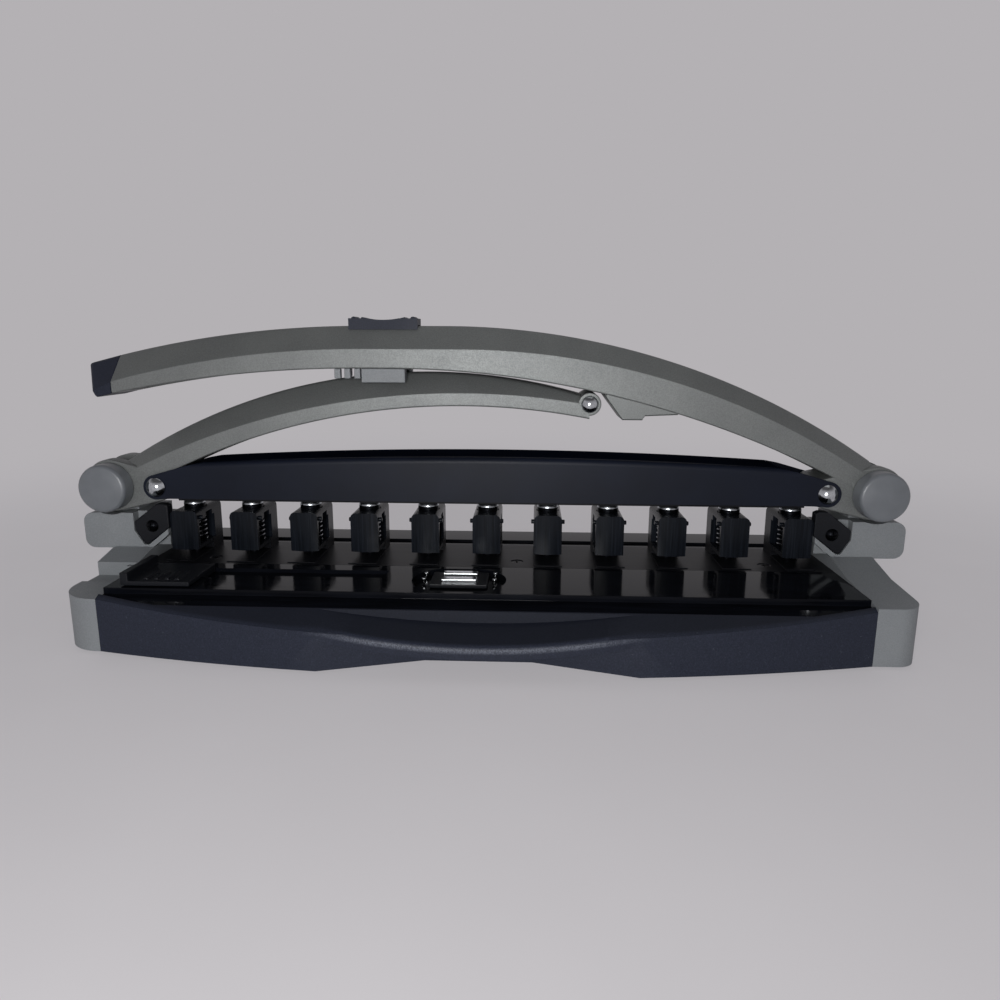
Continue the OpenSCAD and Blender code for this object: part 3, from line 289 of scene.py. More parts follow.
# Tones of the painted highlight on the lip and of the painted shade in the dish.
LIP_HIGHLIGHT_TONE, DISH_SHADE_TONE = "#5f636e", "#0f121a"
spread = add(tree, "ShaderNodeSeparateXYZ", {"Vector": place})
square = add(tree, "ShaderNodeMath", {0: spread.outputs["X"], 1: spread.outputs["X"]}, operation="MULTIPLY")
lip = add(tree, "ShaderNodeMath", {0: square, 1: LIP_BOW, 2: LIP_LOW}, operation="MULTIPLY_ADD")
edge = add(tree, "ShaderNodeMath", {0: lip, 1: LIP_HIGH}, operation="MINIMUM")
over = add(tree, "ShaderNodeMath", {0: spread.outputs["Z"], 1: edge}, operation="SUBTRACT")
gap = add(tree, "ShaderNodeMath", {0: over}, operation="ABSOLUTE")
band = add(tree, "ShaderNodeMapRange", {"Value": gap, "From Min": 0.0002, "From Max": 0.0014,
                                        "To Min": 1.0, "To Max": 0.0}, interpolation_type="SMOOTHSTEP")
front = add(tree, "ShaderNodeMapRange", {"Value": spread.outputs["Y"], "From Min": -0.0566,
                                         "From Max": -0.0548, "To Min": 1.0, "To Max": 0.0})
highlight_grain = add(tree, "ShaderNodeMapRange", {"Value": etch, "From Min": 0.4, "From Max": 0.62,
                                        "To Min": 0.3, "To Max": 1.0})
# Painted highlight: a pale band along the lip, on the front only, broken up by the etch.
lip_highlight = add(tree, "ShaderNodeMath", {0: band, 1: front}, operation="MULTIPLY")
lip_highlight = add(tree, "ShaderNodeMath", {0: lip_highlight, 1: highlight_grain}, operation="MULTIPLY")
tone = add(tree, "ShaderNodeMix", {0: lip_highlight, 6: tone.outputs[2], 7: linear(LIP_HIGHLIGHT_TONE)}, data_type="RGBA")
bowed = add(tree, "ShaderNodeMath", {0: square, 1: -FRONT_BOW, 2: spread.outputs["Y"]},
            operation="MULTIPLY_ADD")
behind = add(tree, "ShaderNodeMapRange", {"Value": bowed, "From Min": -0.0568, "From Max": -0.0556})
above = add(tree, "ShaderNodeMapRange", {"Value": over, "From Min": 0.0006, "From Max": 0.0018,
                                         "To Max": 0.6})
low = add(tree, "ShaderNodeMapRange", {"Value": spread.outputs["Z"], "From Min": 0.03, "From Max": 0.04,
                                       "To Min": 1.0, "To Max": 0.0})
# Painted shade: the dish and the slope behind the bowed front, above the lip, drawn darker, and kept below 30
# mm so that the navy tip stays clear.
smooth = add(tree, "ShaderNodeMath", {0: behind, 1: low}, operation="MULTIPLY")
smooth = add(tree, "ShaderNodeMath", {0: smooth, 1: above}, operation="MULTIPLY")
tone = add(tree, "ShaderNodeMix", {0: smooth, 6: tone.outputs[2], 7: linear(DISH_SHADE_TONE)}, data_type="RGBA")
rough = add(tree, "ShaderNodeMapRange", {"Value": cloud, "From Min": 0.3, "From Max": 0.7,
                                         "To Min": 0.46, "To Max": 0.54})
bump = add(tree, "ShaderNodeBump", {"Height": etch, "Strength": 0.3, "Distance": 0.00005})
shade = add(tree, "ShaderNodeBsdfPrincipled", {"Base Color": tone.outputs[2], "Roughness": rough,
                                               "Normal": bump, "Specular IOR Level": 0.2})
keep("navy_plastic", material, shade)

# %% [markdown]
# ## Black polished deck The deck is polished black styrene. It mirrors the heads and the room behind them,
# slightly blurred, and the mirror wavers because a moulded plate is never quite flat. Faint wipe marks run
# along it.

# %% Polished styrene
material, tree, place = new_finish("black_styrene_polished")
wave = add(tree, "ShaderNodeTexNoise", {"Vector": place, "Scale": per(35), "Detail": 1})
along = add(tree, "ShaderNodeMapping", {"Vector": place, "Scale": (0.12, 1, 1)})
wipe = add(tree, "ShaderNodeTexNoise", {"Vector": along, "Scale": per(3), "Detail": 4})
tone = add(tree, "ShaderNodeValToRGB", {"Fac": wipe}, [(0.3, "#08090d"), (0.75, "#101218")])
rough = add(tree, "ShaderNodeMapRange", {"Value": wipe, "From Min": 0.3, "From Max": 0.75,
                                         "To Min": 0.06, "To Max": 0.15})
bump = add(tree, "ShaderNodeBump", {"Height": wave, "Strength": 0.1, "Distance": 0.0004})
shade = add(tree, "ShaderNodeBsdfPrincipled", {"Base Color": tone, "Roughness": rough,
                                               "Normal": bump, "Specular IOR Level": 0.08})
keep("black_gloss", material, shade)

# %% [markdown]
# ## Black satin moulding Four blacks sit side by side and have to read apart: the moulded brackets and the
# guide, the coated heads, the oxide of the die strip, and the rubber of the feet. They differ less in colour
# than in how they spread a highlight. The moulding is ABS with a satin etch, which gives a soft and even
# sheen.

# %% Black satin moulding
material, tree, place = new_finish("black_abs_satin")
etch = add(tree, "ShaderNodeTexNoise", {"Vector": place, "Scale": per(0.6), "Detail": 2})
tone = add(tree, "ShaderNodeValToRGB", {"Fac": etch}, [(0.35, "#0b0d12"), (0.7, "#12151b")])
rough = add(tree, "ShaderNodeMapRange", {"Value": etch, "To Min": 0.38, "To Max": 0.5})
bump = add(tree, "ShaderNodeBump", {"Height": etch, "Strength": 0.15, "Distance": 0.00004})
shade = add(tree, "ShaderNodeBsdfPrincipled", {"Base Color": tone, "Roughness": rough,
                                               "Normal": bump, "Specular IOR Level": 0.25})
keep("black_plastic", material, shade)

# %% [markdown]
# ## Coat of the heads The heads were ground upright before they were coated, so faint lines run down their
# ridged fronts. A noise that is drawn out along Z makes them, in the colour, the roughness and the relief at
# once.

# %% Black coat of the heads
material, tree, place = new_finish("black_satin_coat")
upright = add(tree, "ShaderNodeMapping", {"Vector": place, "Scale": (1, 1, 0.03)})
lines = add(tree, "ShaderNodeTexNoise", {"Vector": upright, "Scale": per(0.7), "Detail": 2})
tone = add(tree, "ShaderNodeValToRGB", {"Fac": lines}, [(0.35, "#0e1116"), (0.7, "#191d24")])
rough = add(tree, "ShaderNodeMapRange", {"Value": lines, "To Min": 0.2, "To Max": 0.32})
bump = add(tree, "ShaderNodeBump", {"Height": lines, "Strength": 0.08, "Distance": 0.00003})
shade = add(tree, "ShaderNodeBsdfPrincipled", {"Base Color": tone, "Roughness": rough,
                                               "Normal": bump, "Specular IOR Level": 0.12})
keep("head_black", material, shade)

# %% [markdown]
# ## Oxide of the die strip The strip was ground along its length before it was blackened, so its fine lines
# run along X. The oxide is a dull skin that covers the metal, so it is shaded as a dark coat with little
# gloss.

# %% Oxide of the die strip
material, tree, place = new_finish("black_oxide_ground")
along = add(tree, "ShaderNodeMapping", {"Vector": place, "Scale": (0.02, 1, 1)})
lines = add(tree, "ShaderNodeTexNoise", {"Vector": along, "Scale": per(0.4), "Detail": 3})
tone = add(tree, "ShaderNodeValToRGB", {"Fac": lines}, [(0.3, "#0d0e11"), (0.7, "#191a1e")])
rough = add(tree, "ShaderNodeMapRange", {"Value": lines, "To Min": 0.3, "To Max": 0.46})
bump = add(tree, "ShaderNodeBump", {"Height": lines, "Strength": 0.15, "Distance": 0.00003})
shade = add(tree, "ShaderNodeBsdfPrincipled", {"Base Color": tone, "Roughness": rough,
                                               "Normal": bump, "Specular IOR Level": 0.1})
keep("die_black", material, shade)

# %% [markdown]
# ## Rubber of the feet Rubber grows a chalky bloom with time, which takes its gloss. So the noise only
# drifts between two soft blacks, and the surface is rough all over.

# %% Rubber of the feet
material, tree, place = new_finish("black_rubber")
chalk = add(tree, "ShaderNodeTexNoise", {"Vector": place, "Scale": per(1.5), "Detail": 4})
tone = add(tree, "ShaderNodeValToRGB", {"Fac": chalk}, [(0.3, "#151516"), (0.75, "#232325")])
shade = add(tree, "ShaderNodeBsdfPrincipled", {"Base Color": tone, "Roughness": 0.8, "IOR": 1.52})
keep("foot_rubber", material, shade)

# %% [markdown]
# ## Powder-coated steel The pressure bar is bent from sheet steel and powder-coated in a blue black. Powder
# melts into a skin with a gentle orange peel, so the long highlight on its bend has a ragged edge. A noise
# with marks of one millimetre makes the peel. Seen along its top, the peel hides its own gloss, so the
# reflection fades where the face turns away from the eye.

# %% Powder coat
material, tree, place = new_finish("powder_coated_steel_navy")
peel = add(tree, "ShaderNodeTexNoise", {"Vector": place, "Scale": per(1.0), "Detail": 2})
cloud = add(tree, "ShaderNodeTexNoise", {"Vector": place, "Scale": per(25), "Detail": 3})
tone = add(tree, "ShaderNodeValToRGB", {"Fac": cloud}, [(0.3, "#10141f"), (0.7, "#141926")])
rough = add(tree, "ShaderNodeMapRange", {"Value": peel, "To Min": 0.38, "To Max": 0.5})
bump = add(tree, "ShaderNodeBump", {"Height": peel, "Strength": 0.15, "Distance": 0.00006})
turn = add(tree, "ShaderNodeLayerWeight", {"Blend": 0.5})
gloss = add(tree, "ShaderNodeMapRange", {"Value": turn.outputs["Facing"], "From Min": 0.4, "From Max": 0.8,
                                         "To Min": 0.16, "To Max": 0.0})
shade = add(tree, "ShaderNodeBsdfPrincipled", {"Base Color": tone, "Roughness": rough, "Normal": bump,
                                               "Specular IOR Level": gloss})
keep("navy_powder_coat", material, shade)

# %% [markdown]
# ## Bare and dark steel The rivets and the roller pin are polished, the shafts and screws are turned, the
# springs are drawn wire and the cutters are dark hardened steel. All four are the same metal to the shader.
# What changes is the colour of its oxide and the fine marks that the tool has left, so one loop makes them
# from a short list.

# %% Steels
for slot, name, dark, light, smooth, coarse, mark in (
    ("steel", "turned_steel", "#a4a8ad", "#c4c8cc", 0.24, 0.38, 0.35),
    ("polished_steel", "mirror_polished_steel", "#b4b8bc", "#d3d6d9", 0.09, 0.17, 0.8),
    ("spring_steel", "drawn_wire_steel", "#8d8f94", "#b9bbc0", 0.2, 0.34, 0.3),
    ("black_steel", "hardened_black_steel", "#0e0f11", "#1b1c20", 0.3, 0.46, 0.5),
):
    material, tree, place = new_finish(name)
    marks = add(tree, "ShaderNodeTexNoise", {"Vector": place, "Scale": per(mark), "Detail": 3})
    tone = add(tree, "ShaderNodeValToRGB", {"Fac": marks}, [(0.3, dark), (0.7, light)])
    rough = add(tree, "ShaderNodeMapRange", {"Value": marks, "To Min": smooth, "To Max": coarse})
    bump = add(tree, "ShaderNodeBump", {"Height": marks, "Strength": 0.08, "Distance": 0.00002})
    shade = add(tree, "ShaderNodeBsdfPrincipled", {"Base Color": tone, "Metallic": 1.0,
                                                   "Roughness": rough, "Normal": bump})
    keep(slot, material, shade)

# %% [markdown]
# ## Dress the frame Every node of the frame says which finish it wears. Pieces that are already the right
# shape, such as the screws and the shafts, only need that finish. The rest are replaced further on, but they
# are dressed too, so that no node is ever left in a plain colour.

# %% Give every node its finish
slot_of = {part["node"]: part["material_slot"] for part in frame["record"]["subparts"]}
for node, holder in nodes.items():
    holder.data.materials.clear()
    holder.data.materials.append(finishes[slot_of[node]])
print("dressed", len(slot_of), "nodes in", len(set(slot_of.values())), "finishes")

# %% [markdown]
# ## Places and selection Pieces along the cutter row are easiest to describe from the row itself, which lies
# 16.75 mm behind the middle of the base. One function turns such millimetres into a place. Operators act on
# all that is selected, so the others select one piece alone, open it for editing, and close it again with
# its doubles merged.

# %% Helpers to place and select
ROW_Y = 16.75
DOUBLES = 2e-6


def spot(x, y, z):
    """A place in millimetres from the cutter row, as metres in the frame."""
    return Vector((x, y + ROW_Y, z)) / 1000


def take(piece=None):
    """Leave edit mode and select one piece alone, or nothing."""
    if bpy.context.object and bpy.context.object.mode != "OBJECT":
        bpy.ops.object.mode_set(mode="OBJECT")
    bpy.ops.object.select_all(action="DESELECT")
    if piece:
        piece.select_set(True)
        bpy.context.view_layer.objects.active = piece


def fresh(name):
    """Name the piece that an operator has just added, and open it for editing."""
    piece = bpy.context.object
    piece.name = piece.data.name = name
    bpy.ops.object.mode_set(mode="EDIT")
    return piece


def open_up(piece):
    """Open a piece for editing, with all of it selected."""
    take(piece)
    bpy.ops.object.mode_set(mode="EDIT")
    bpy.ops.mesh.select_all(action="SELECT")


def close_up(piece):
    """Merge doubles and turn all faces outwards."""
    open_up(piece)
    bpy.ops.mesh.remove_doubles(threshold=DOUBLES)
    bpy.ops.mesh.normals_make_consistent(inside=False)
    bpy.ops.object.mode_set(mode="OBJECT")


print("row at", spot(0, 0, 0)[:], "m")

# %% [markdown]
# ## Dressing a piece Every finished piece gets its smooth shading, its finish and its body in the same way, and the nodes that it replaces are hidden, so one function does it. Weighted normals keep flat faces flat next to their rounded edges.


# %% A helper to dress a piece
def wear(piece, slot, body, *replaced, angle=35, finish=None):
    """Shade a finished piece, give it its finish and hang it on its body."""
    take(piece)
    piece.data.materials.clear()
    piece.data.materials.append(finishes[finish or slot])
    bpy.ops.object.shade_smooth_by_angle(angle=math.radians(angle))
    weigh = piece.modifiers.new("weigh", "WEIGHTED_NORMAL")
    weigh.keep_sharp = True
    bpy.ops.object.modifier_apply(modifier=weigh.name)
    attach(piece, body)
    if replaced:
        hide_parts(*replaced)
    print(piece.name, len(piece.data.polygons), "faces on", body)


print("ready to dress pieces")

# %% [markdown]
# ## Cutting and joining Slots, bores and windows are cut with plain blocks and cylinders, which the boolean
# uses up. The exact solver is the slower one, but it copes with faces that lie in one plane.


# %% Helpers to cut and join
def combine(piece, other, how):
    """Join, cut or intersect a piece with another one, which is used up."""
    take(piece)
    step = piece.modifiers.new("combine", "BOOLEAN")
    step.operation = how
    step.solver = "EXACT"
    step.object = other
    bpy.ops.object.modifier_apply(modifier=step.name)
    bpy.data.objects.remove(other)


def box(low, high):
    """A block between two corners, to cut with or to shape."""
    take()
    low, high = spot(*low), spot(*high)
    bpy.ops.mesh.primitive_cube_add(size=1, location=(low + high) / 2, scale=high - low)
    bpy.ops.object.transform_apply()
    return bpy.context.object


def cylinder(radius, length, middle, turn=(0, 0, 0), sides=24):
    """A cylinder, upright unless it is turned, to cut with or to shape."""
    take()
    bpy.ops.mesh.primitive_cylinder_add(vertices=sides, radius=radius / 1000, depth=length / 1000,
                                        location=middle, rotation=turn)
    bpy.ops.object.transform_apply()
    return bpy.context.object


def rod(x, z, radius, half=20, sides=64):
    """A bar across the arms, to cut with."""
    return cylinder(radius, 2 * half, spot(x, 0, z), (math.pi / 2, 0, 0), sides)


print("ready to cut and join")

# %% [markdown]
# ## Sections that grow along a path The arms are long bows whose section changes all the way. By hand they
# would be extruded ring by ring from a flat outline, so that is what this helper does: a filled circle
# becomes the first outline, and each extrusion moves the new ring to its next place. A mark on every point
# tells which place of the ring it belongs to.


# %% Extrude from ring to ring
def loft(name, rings):
    """Extrude an outline through rings of places, all with the same number of points."""
    take()
    bpy.ops.mesh.primitive_circle_add(vertices=len(rings[0]), radius=0.01, fill_type="NGON")
    piece = fresh(name)
    mesh = bmesh.from_edit_mesh(piece.data)
    mark = mesh.verts.layers.int.new("mark")
    for count, vert in enumerate(mesh.verts):
        vert[mark] = count
    for step, ring in enumerate(rings):
        if step:
            bpy.ops.mesh.extrude_region_move()
        mesh = bmesh.from_edit_mesh(piece.data)
        mark = mesh.verts.layers.int["mark"]
        for vert in mesh.verts:
            if vert.select:
                vert.co = ring[vert[mark]]
        bmesh.update_edit_mesh(piece.data)
    take(piece)
    piece.data.attributes.remove(piece.data.attributes["mark"])
    close_up(piece)
    return piece


def rounded(corners, steps=4):
    """Points of an outline whose corners are (across, up, radius)."""
    points = []
    for k, (across, up, radius) in enumerate(corners):
        corner = Vector((across, up))
        if not radius:
            points.append(corner)
            continue
        back = Vector(corners[k - 1][:2]) - corner
        on = Vector(corners[(k + 1) % len(corners)][:2]) - corner
        reach = min(radius / math.tan(back.angle(on) / 2), 0.45 * back.length, 0.45 * on.length)
        start, end = corner + back.normalized() * reach, corner + on.normalized() * reach
        for step in range(steps + 1):
            t = step / steps
            points.append(start * (1 - t) ** 2 + corner * 2 * t * (1 - t) + end * t ** 2)
    return points


def bow(x, middle, crest, radius):
    """Height of an arc that falls away from its crest."""
    return crest - radius + math.sqrt(radius ** 2 - (x - middle) ** 2)


print("loft ready")

# %% [markdown]
# ## The front handle The handle is one long bow with a flat crest. Its side has a crease: below it the wall
# stands upright, above it the wall leans in to a narrow top. Underneath it is hollow, with cross ribs. The
# same ring of points serves for the whole length; where there is no hollow, its inner points lie flat in the
# lower face.

# %% The handle's lines
PIVOT_X, PIVOT_Z, LINK_X = 157, 53.5, 137
ARM_HALF, LEAN = 11, 0.9
TIP_JOINT, TIP_END = -152.7, -166.7
FLAT_START = -50


def long_line(crest, flat_end, left_radius, right_radius):
    """A line with a flat crest that falls away in an arc on either side, as a height for every x."""
    def height(x):
        if x < FLAT_START:
            return bow(x, FLAT_START, crest, left_radius)
        return bow(max(x, flat_end), flat_end, crest, right_radius)
    return height


handle_top = long_line(119.1, -17, 444.3, 306.9)
handle_low = long_line(102.3, -40, 507.4, 400.9)
handle_crease = long_line(110, -10, 400.3, 293.8)


def arm_section(low, crease, top, roof=None, wall=2.6, ease=0.0):
    """The arm cut across, with an open channel up to the roof, drawn in by a little where it is eased."""
    half = ARM_HALF - ease
    crown = half - LEAN * (top - crease)
    inner = ARM_HALF - wall
    hollow = roof or low
    shy = 0 if roof else 0.4
    return rounded([
        (half, low + ease, 0.7), (half, crease, 0.7), (crown, top - ease, 3.2),
        (-crown, top - ease, 3.2), (-half, crease, 0.7), (-half, low + ease, 0.7),
        (-inner, low + ease, 0), (-inner + shy, hollow + ease, 0),
        (inner - shy, hollow + ease, 0), (inner, low + ease, 0),
    ])


print("handle crest", handle_top(-30), "mm, tip", round(handle_top(TIP_END), 1), "mm")

# %% [markdown]
# ## The handle's ribs and hollow The handle could be hollowed with booleans, but its rings can do that too.
# Where the section changes, at a rib or at the end of the hollow, two rings stand at the same place, one of
# each kind, and leave a sharp step between them.


# %% Loft the handle
def arm_rings(spans, section, step=5):
    """Rings along X for spans of (start, kind), doubled where the kind changes."""
    rings = []
    for (x0, kind), (x1, _) in zip(spans, spans[1:]):
        count = max(1, round((x1 - x0) / step))
        for k in range(count + 1):
            x = x0 + (x1 - x0) * k / count
            rings.append([spot(x, p.x, p.y) for p in section(x, kind)])
    return rings


def handle_section(x, kind):
    roof = {"open": handle_top(x) - 9.1, "rib": handle_low(x) + 2}.get(kind)
    return arm_section(handle_low(x), handle_crease(x), handle_top(x), roof, ease=0.3 if kind == "end" else 0)


spans = [(TIP_JOINT, "end"), (TIP_JOINT + 0.4, "solid"), (-146.7, "open")]
for x in (-120, -90, 0, 30, 90):
    spans += [(x - 0.8, "rib"), (x + 0.8, "open")]
spans += [(115, "solid"), (PIVOT_X - 0.6, "end"), (PIVOT_X, "end")]
front_handle = loft("handle_skin", arm_rings(spans, handle_section))
print("handle", len(front_handle.data.polygons), "faces")

# %% [markdown]
# ## The knuckles Each arm ends in a fork: a thick disc for the pivot that runs into a smaller one for the
# link pin. It is an outline of two arcs and their tangents, extruded across with its rims eased, then split
# by the tower's lug and bored.


# %% Make a fork
LUG_HALF, LUG_ROOM, SHAFT_BORE = 5.3, 12.5, 4.06
BIG_DISC, SMALL_DISC = 11, 6.2


def link_ring(side, ease, y):
    """Outline of the two discs, drawn in by a little, at one place across the arm."""
    big, small, apart = BIG_DISC - ease, SMALL_DISC - ease, PIVOT_X - LINK_X
    lean = math.acos((big - small) / apart)
    turns = [lean + (math.tau - 2 * lean) * k / 40 for k in range(41)]
    ring = [(PIVOT_X - big * math.cos(a), PIVOT_Z + big * math.sin(a)) for a in turns]
    turns = [-lean + 2 * lean * k / 24 for k in range(25)]
    ring += [(LINK_X - small * math.cos(a), PIVOT_Z + small * math.sin(a)) for a in turns]
    return [spot(side * x, y, z) for x, z in ring]


def fork(side, half=10.9):
    """A knuckle with eased rims, for the right-hand (1) or left-hand (-1) pivot."""
    steps = [(0.9, 0), (0.25, 0.25), (0, 0.9)]
    rings = [link_ring(side, ease, -half + back) for ease, back in steps]
    rings += [link_ring(side, ease, half - back) for ease, back in reversed(steps)]
    return loft("fork", rings)


def fork_cuts(piece, side, link_radius):
    """Room for the tower's lug and the bores of the shaft and the link pin."""
    combine(piece, rod(side * PIVOT_X, PIVOT_Z, LUG_ROOM, LUG_HALF, 96), "DIFFERENCE")
    outer = sorted((side * PIVOT_X, side * (PIVOT_X + 20)))
    combine(piece, box((outer[0], -LUG_HALF, PIVOT_Z - 20), (outer[1], LUG_HALF, PIVOT_Z + 13)), "DIFFERENCE")
    combine(piece, rod(side * PIVOT_X, PIVOT_Z, SHAFT_BORE), "DIFFERENCE")
    combine(piece, rod(side * LINK_X, PIVOT_Z, link_radius), "DIFFERENCE")


combine(front_handle, fork(1), "UNION")
print("handle with its fork", len(front_handle.data.polygons), "faces")

# %% [markdown]
# ## The roller's stop Under the handle a wedge stops the roller of the rear arm. It is a short prism with
# eased flanks that grows out of the lower face. It is joined to the handle by a union, as the real one is
# moulded in one piece with it.

# %% Join the stop and open the slots
STOP_X, STOP_LOW = 47.3, 82.4
LOCK_LEFT, LOCK_HALF = -47.8, 2.3
outline = [(STOP_X, STOP_LOW + 12), (STOP_X, STOP_LOW + 9.3), (STOP_X + 7.1, STOP_LOW),
           (STOP_X + 15, STOP_LOW), (STOP_X + 16, STOP_LOW + 1.6), (STOP_X + 29, STOP_LOW + 2.2),
           (STOP_X + 32, STOP_LOW + 6), (STOP_X + 20, STOP_LOW + 10)]
rings = []
for y, ease in ((-10, 0.5), (-9.5, 0), (9.5, 0), (10, 0.5)):
    rings.append([spot(x + ease * (x < STOP_X + 5), y, z + ease * (z < STOP_LOW + 3)) for x, z in outline])
combine(front_handle, loft("stop", rings), "UNION")
fork_cuts(front_handle, 1, 2.56)
combine(front_handle, box((LOCK_LEFT, -LOCK_HALF, 95), (-40.2, LOCK_HALF, 125)), "DIFFERENCE")
wear(front_handle, "grey_plastic", "front_handle", "front_handle", finish="grey_flake")

# %% [markdown]
# ## The handle's tip The navy tip carries the handle's lines on and ends in a slanted face that leans back
# towards the hand. Its rings are sheared as they near the end, and the last few draw in, so the rim is
# rounded over and catches a thin light line.


# %% Loft the tip
TIP_FOOT, TIP_RUN, TIP_RISE = -160.5, 14, 26


def tip_ring(share, ease):
    """A ring between the joint (0) and the slanted end (1)."""
    ring = []
    end = arm_section(handle_low(TIP_FOOT), handle_crease(TIP_END), handle_top(TIP_END), ease=ease)
    joint = arm_section(handle_low(TIP_JOINT), handle_crease(TIP_JOINT), handle_top(TIP_JOINT), ease=ease)
    for a, b in zip(joint, end):
        slant = TIP_END + TIP_RUN * (handle_top(TIP_END) - b.y) / TIP_RISE
        ring.append(spot(TIP_JOINT + (slant - TIP_JOINT) * share, a.x + (b.x - a.x) * share,
                         a.y + (b.y - a.y) * share))
    return ring


rings = [tip_ring(0.0, 0.35), tip_ring(0.03, 0)] + [tip_ring(s, 0) for s in (0.3, 0.6, 0.86)]
rings += [tip_ring(s, e) for s, e in ((0.93, 0.12), (0.975, 0.45), (1.0, 1.1))]
tip = loft("tip_skin", rings)
wear(tip, "navy_plastic", "front_handle", "handle_tip")

# %% [markdown]
# ## The rear arm The second arm is a slimmer bow that starts at the left-hand pivot, passes under the handle
# and ends in a round eye for the roller pin. It is made in the same way, with its own lines, and its eye is
# a short drum joined to its end.


# %% Loft the rear arm
def rear_section(x, kind):
    low, top = bow(x, -10, 87.6, 275.8), bow(x, -25, 100.8, 233.0)
    crease = min(bow(x, -10, 92.8, 305.0), top - 0.6)
    return arm_section(low, crease, top, top - 3 if kind == "open" else None, 6.6,
                       0.3 if kind == "end" else 0)


ROLLER_X, ROLLER_Z, EYE_R = 41.2, 88.7, 4.6
spans = [(-PIVOT_X, "end"), (-PIVOT_X + 0.6, "solid"), (-115, "open"), (31.2, "solid"), (ROLLER_X, None)]
rear_arm = loft("rear_arm_skin", arm_rings(spans, rear_section))
combine(rear_arm, fork(-1), "UNION")
rings = []
for y, ease in ((-10.9, 0.6), (-10.7, 0.15), (-10.2, 0), (10.2, 0), (10.7, 0.15), (10.9, 0.6)):
    turns = [math.tau * k / 48 for k in range(48)]
    rings.append([spot(ROLLER_X + (EYE_R - ease) * math.cos(a), y, ROLLER_Z + (EYE_R - ease) * math.sin(a))
                  for a in turns])
combine(rear_arm, loft("eye", rings), "UNION")
fork_cuts(rear_arm, -1, 2.5)
combine(rear_arm, rod(ROLLER_X, ROLLER_Z, 3.4), "DIFFERENCE")
combine(rear_arm, box((LOCK_LEFT, -LOCK_HALF, 93.8), (-35.5, LOCK_HALF, 110)), "DIFFERENCE")
wear(rear_arm, "grey_plastic", "rear_arm", "rear_arm", finish="grey_flake")

# %% [markdown]
# ## Turned pieces Caps, rivets and the roller pin are round, so they are spun from half an outline, as on a
# lathe. The outline starts and ends on the axis. The edge along the axis goes before the spin, because it
# would turn into a needle.


# %% Spin a piece about an axis across the arms
def turned(name, outline, x, y, z, way, steps=72):
    """Spin (radius, reach) points about an axis that leaves (x, y, z) along Y, forwards (-1) or back (1)."""
    take()
    bpy.ops.mesh.primitive_circle_add(vertices=len(outline), radius=0.01)
    piece = fresh(name)
    mesh = bmesh.from_edit_mesh(piece.data)
    for vert, (radius, reach) in zip(mesh.verts, outline):
        vert.co = spot(x + radius, y + way * reach, z)
    for edge in mesh.edges:
        edge.select = all(abs(v.co.x - x / 1000) < 1e-7 for v in edge.verts)
    bmesh.update_edit_mesh(piece.data)
    bpy.ops.mesh.delete(type="EDGE")
    bpy.ops.mesh.select_all(action="SELECT")
    bpy.ops.mesh.spin(steps=steps, angle=math.tau, center=spot(x, y, z), axis=(0, 1, 0))
    close_up(piece)
    return piece


def joined(name, pieces):
    """Join loose pieces into one."""
    take(pieces[0])
    for piece in pieces[1:]:
        piece.select_set(True)
    bpy.ops.object.join()
    pieces[0].name = pieces[0].data.name = name
    return pieces[0]


def quarter(radius, reach, from_radius, from_reach, steps=6):
    """A rounded rim from the side to the face of a turned piece."""
    return [(from_radius - radius + radius * math.cos(math.pi / 2 * k / steps),
             from_reach + reach * math.sin(math.pi / 2 * k / steps)) for k in range(steps + 1)]


print("lathe ready")

# %% [markdown]
# ## The pivot caps A pair of caps closes each pivot, one in front and one behind. A cap is a shallow drum
# with a rounded rim and a face that is only just domed, which is why its highlight is a thin arc along the
# rim.

# %% Spin the caps
CAP = [(0, 3.7), (4, 3.7), (4, 0), (9.7, 0), (9.9, 0.25)]
CAP += quarter(1.7, 1.8, 9.9, 5.7)
CAP += [(6.8, 7.86), (5.4, 8.11), (4.0, 8.3), (2.2, 8.44), (0, 8.5)]
for side, word in ((-1, "left"), (1, "right")):
    caps = [turned("cap", CAP, side * PIVOT_X, way * 11.3, PIVOT_Z, way) for way in (-1, 1)]
    wear(joined(word + "_caps_skin", caps), "grey_gloss", "base", word + "_pivot_caps")

# %% [markdown]
# ## Rivets and roller pin The bar hangs on polished rivets with a domed head, and the rear arm ends in a pin
# that is domed at both ends. A dome is a part of a ball, so the ball's radius follows from the width and the
# height of the dome.


# %% Spin the rivets and the roller pin
def dome(radius, height, reach, steps=8):
    """The outline of a domed head from its rim to its crown."""
    ball = (radius ** 2 + height ** 2) / (2 * height)
    return [(radius * (1 - k / steps),
             reach + height - ball + math.sqrt(ball ** 2 - (radius * (1 - k / steps)) ** 2))
            for k in range(steps + 1)]


for side, word, seat, body in ((-1, "left", 13.2, "rear_arm"), (1, "right", 12.9, "pressure_bar")):
    rim = 2 * seat + 0.15
    outline = [(0, -1.4), (3.6, -1.4), (4, -1.0), (4, 0), (2.5, 0), (2.5, 2 * seat),
               (3.9, 2 * seat), (4, rim)]
    outline += dome(4, 2.25, rim)[1:]
    pin = turned(word + "_rivet_skin", outline, side * LINK_X, seat, PIVOT_Z, -1)
    wear(pin, "polished_steel", body, word + "_link_pin", angle=50)
outline = [(r, -reach) for r, reach in reversed(dome(3.4, 2, 11.3))] + dome(3.4, 2, 11.3)
roller = turned("roller_skin", outline, ROLLER_X, 0, ROLLER_Z, -1)
wear(roller, "polished_steel", "rear_arm", "roller_pin", angle=50)

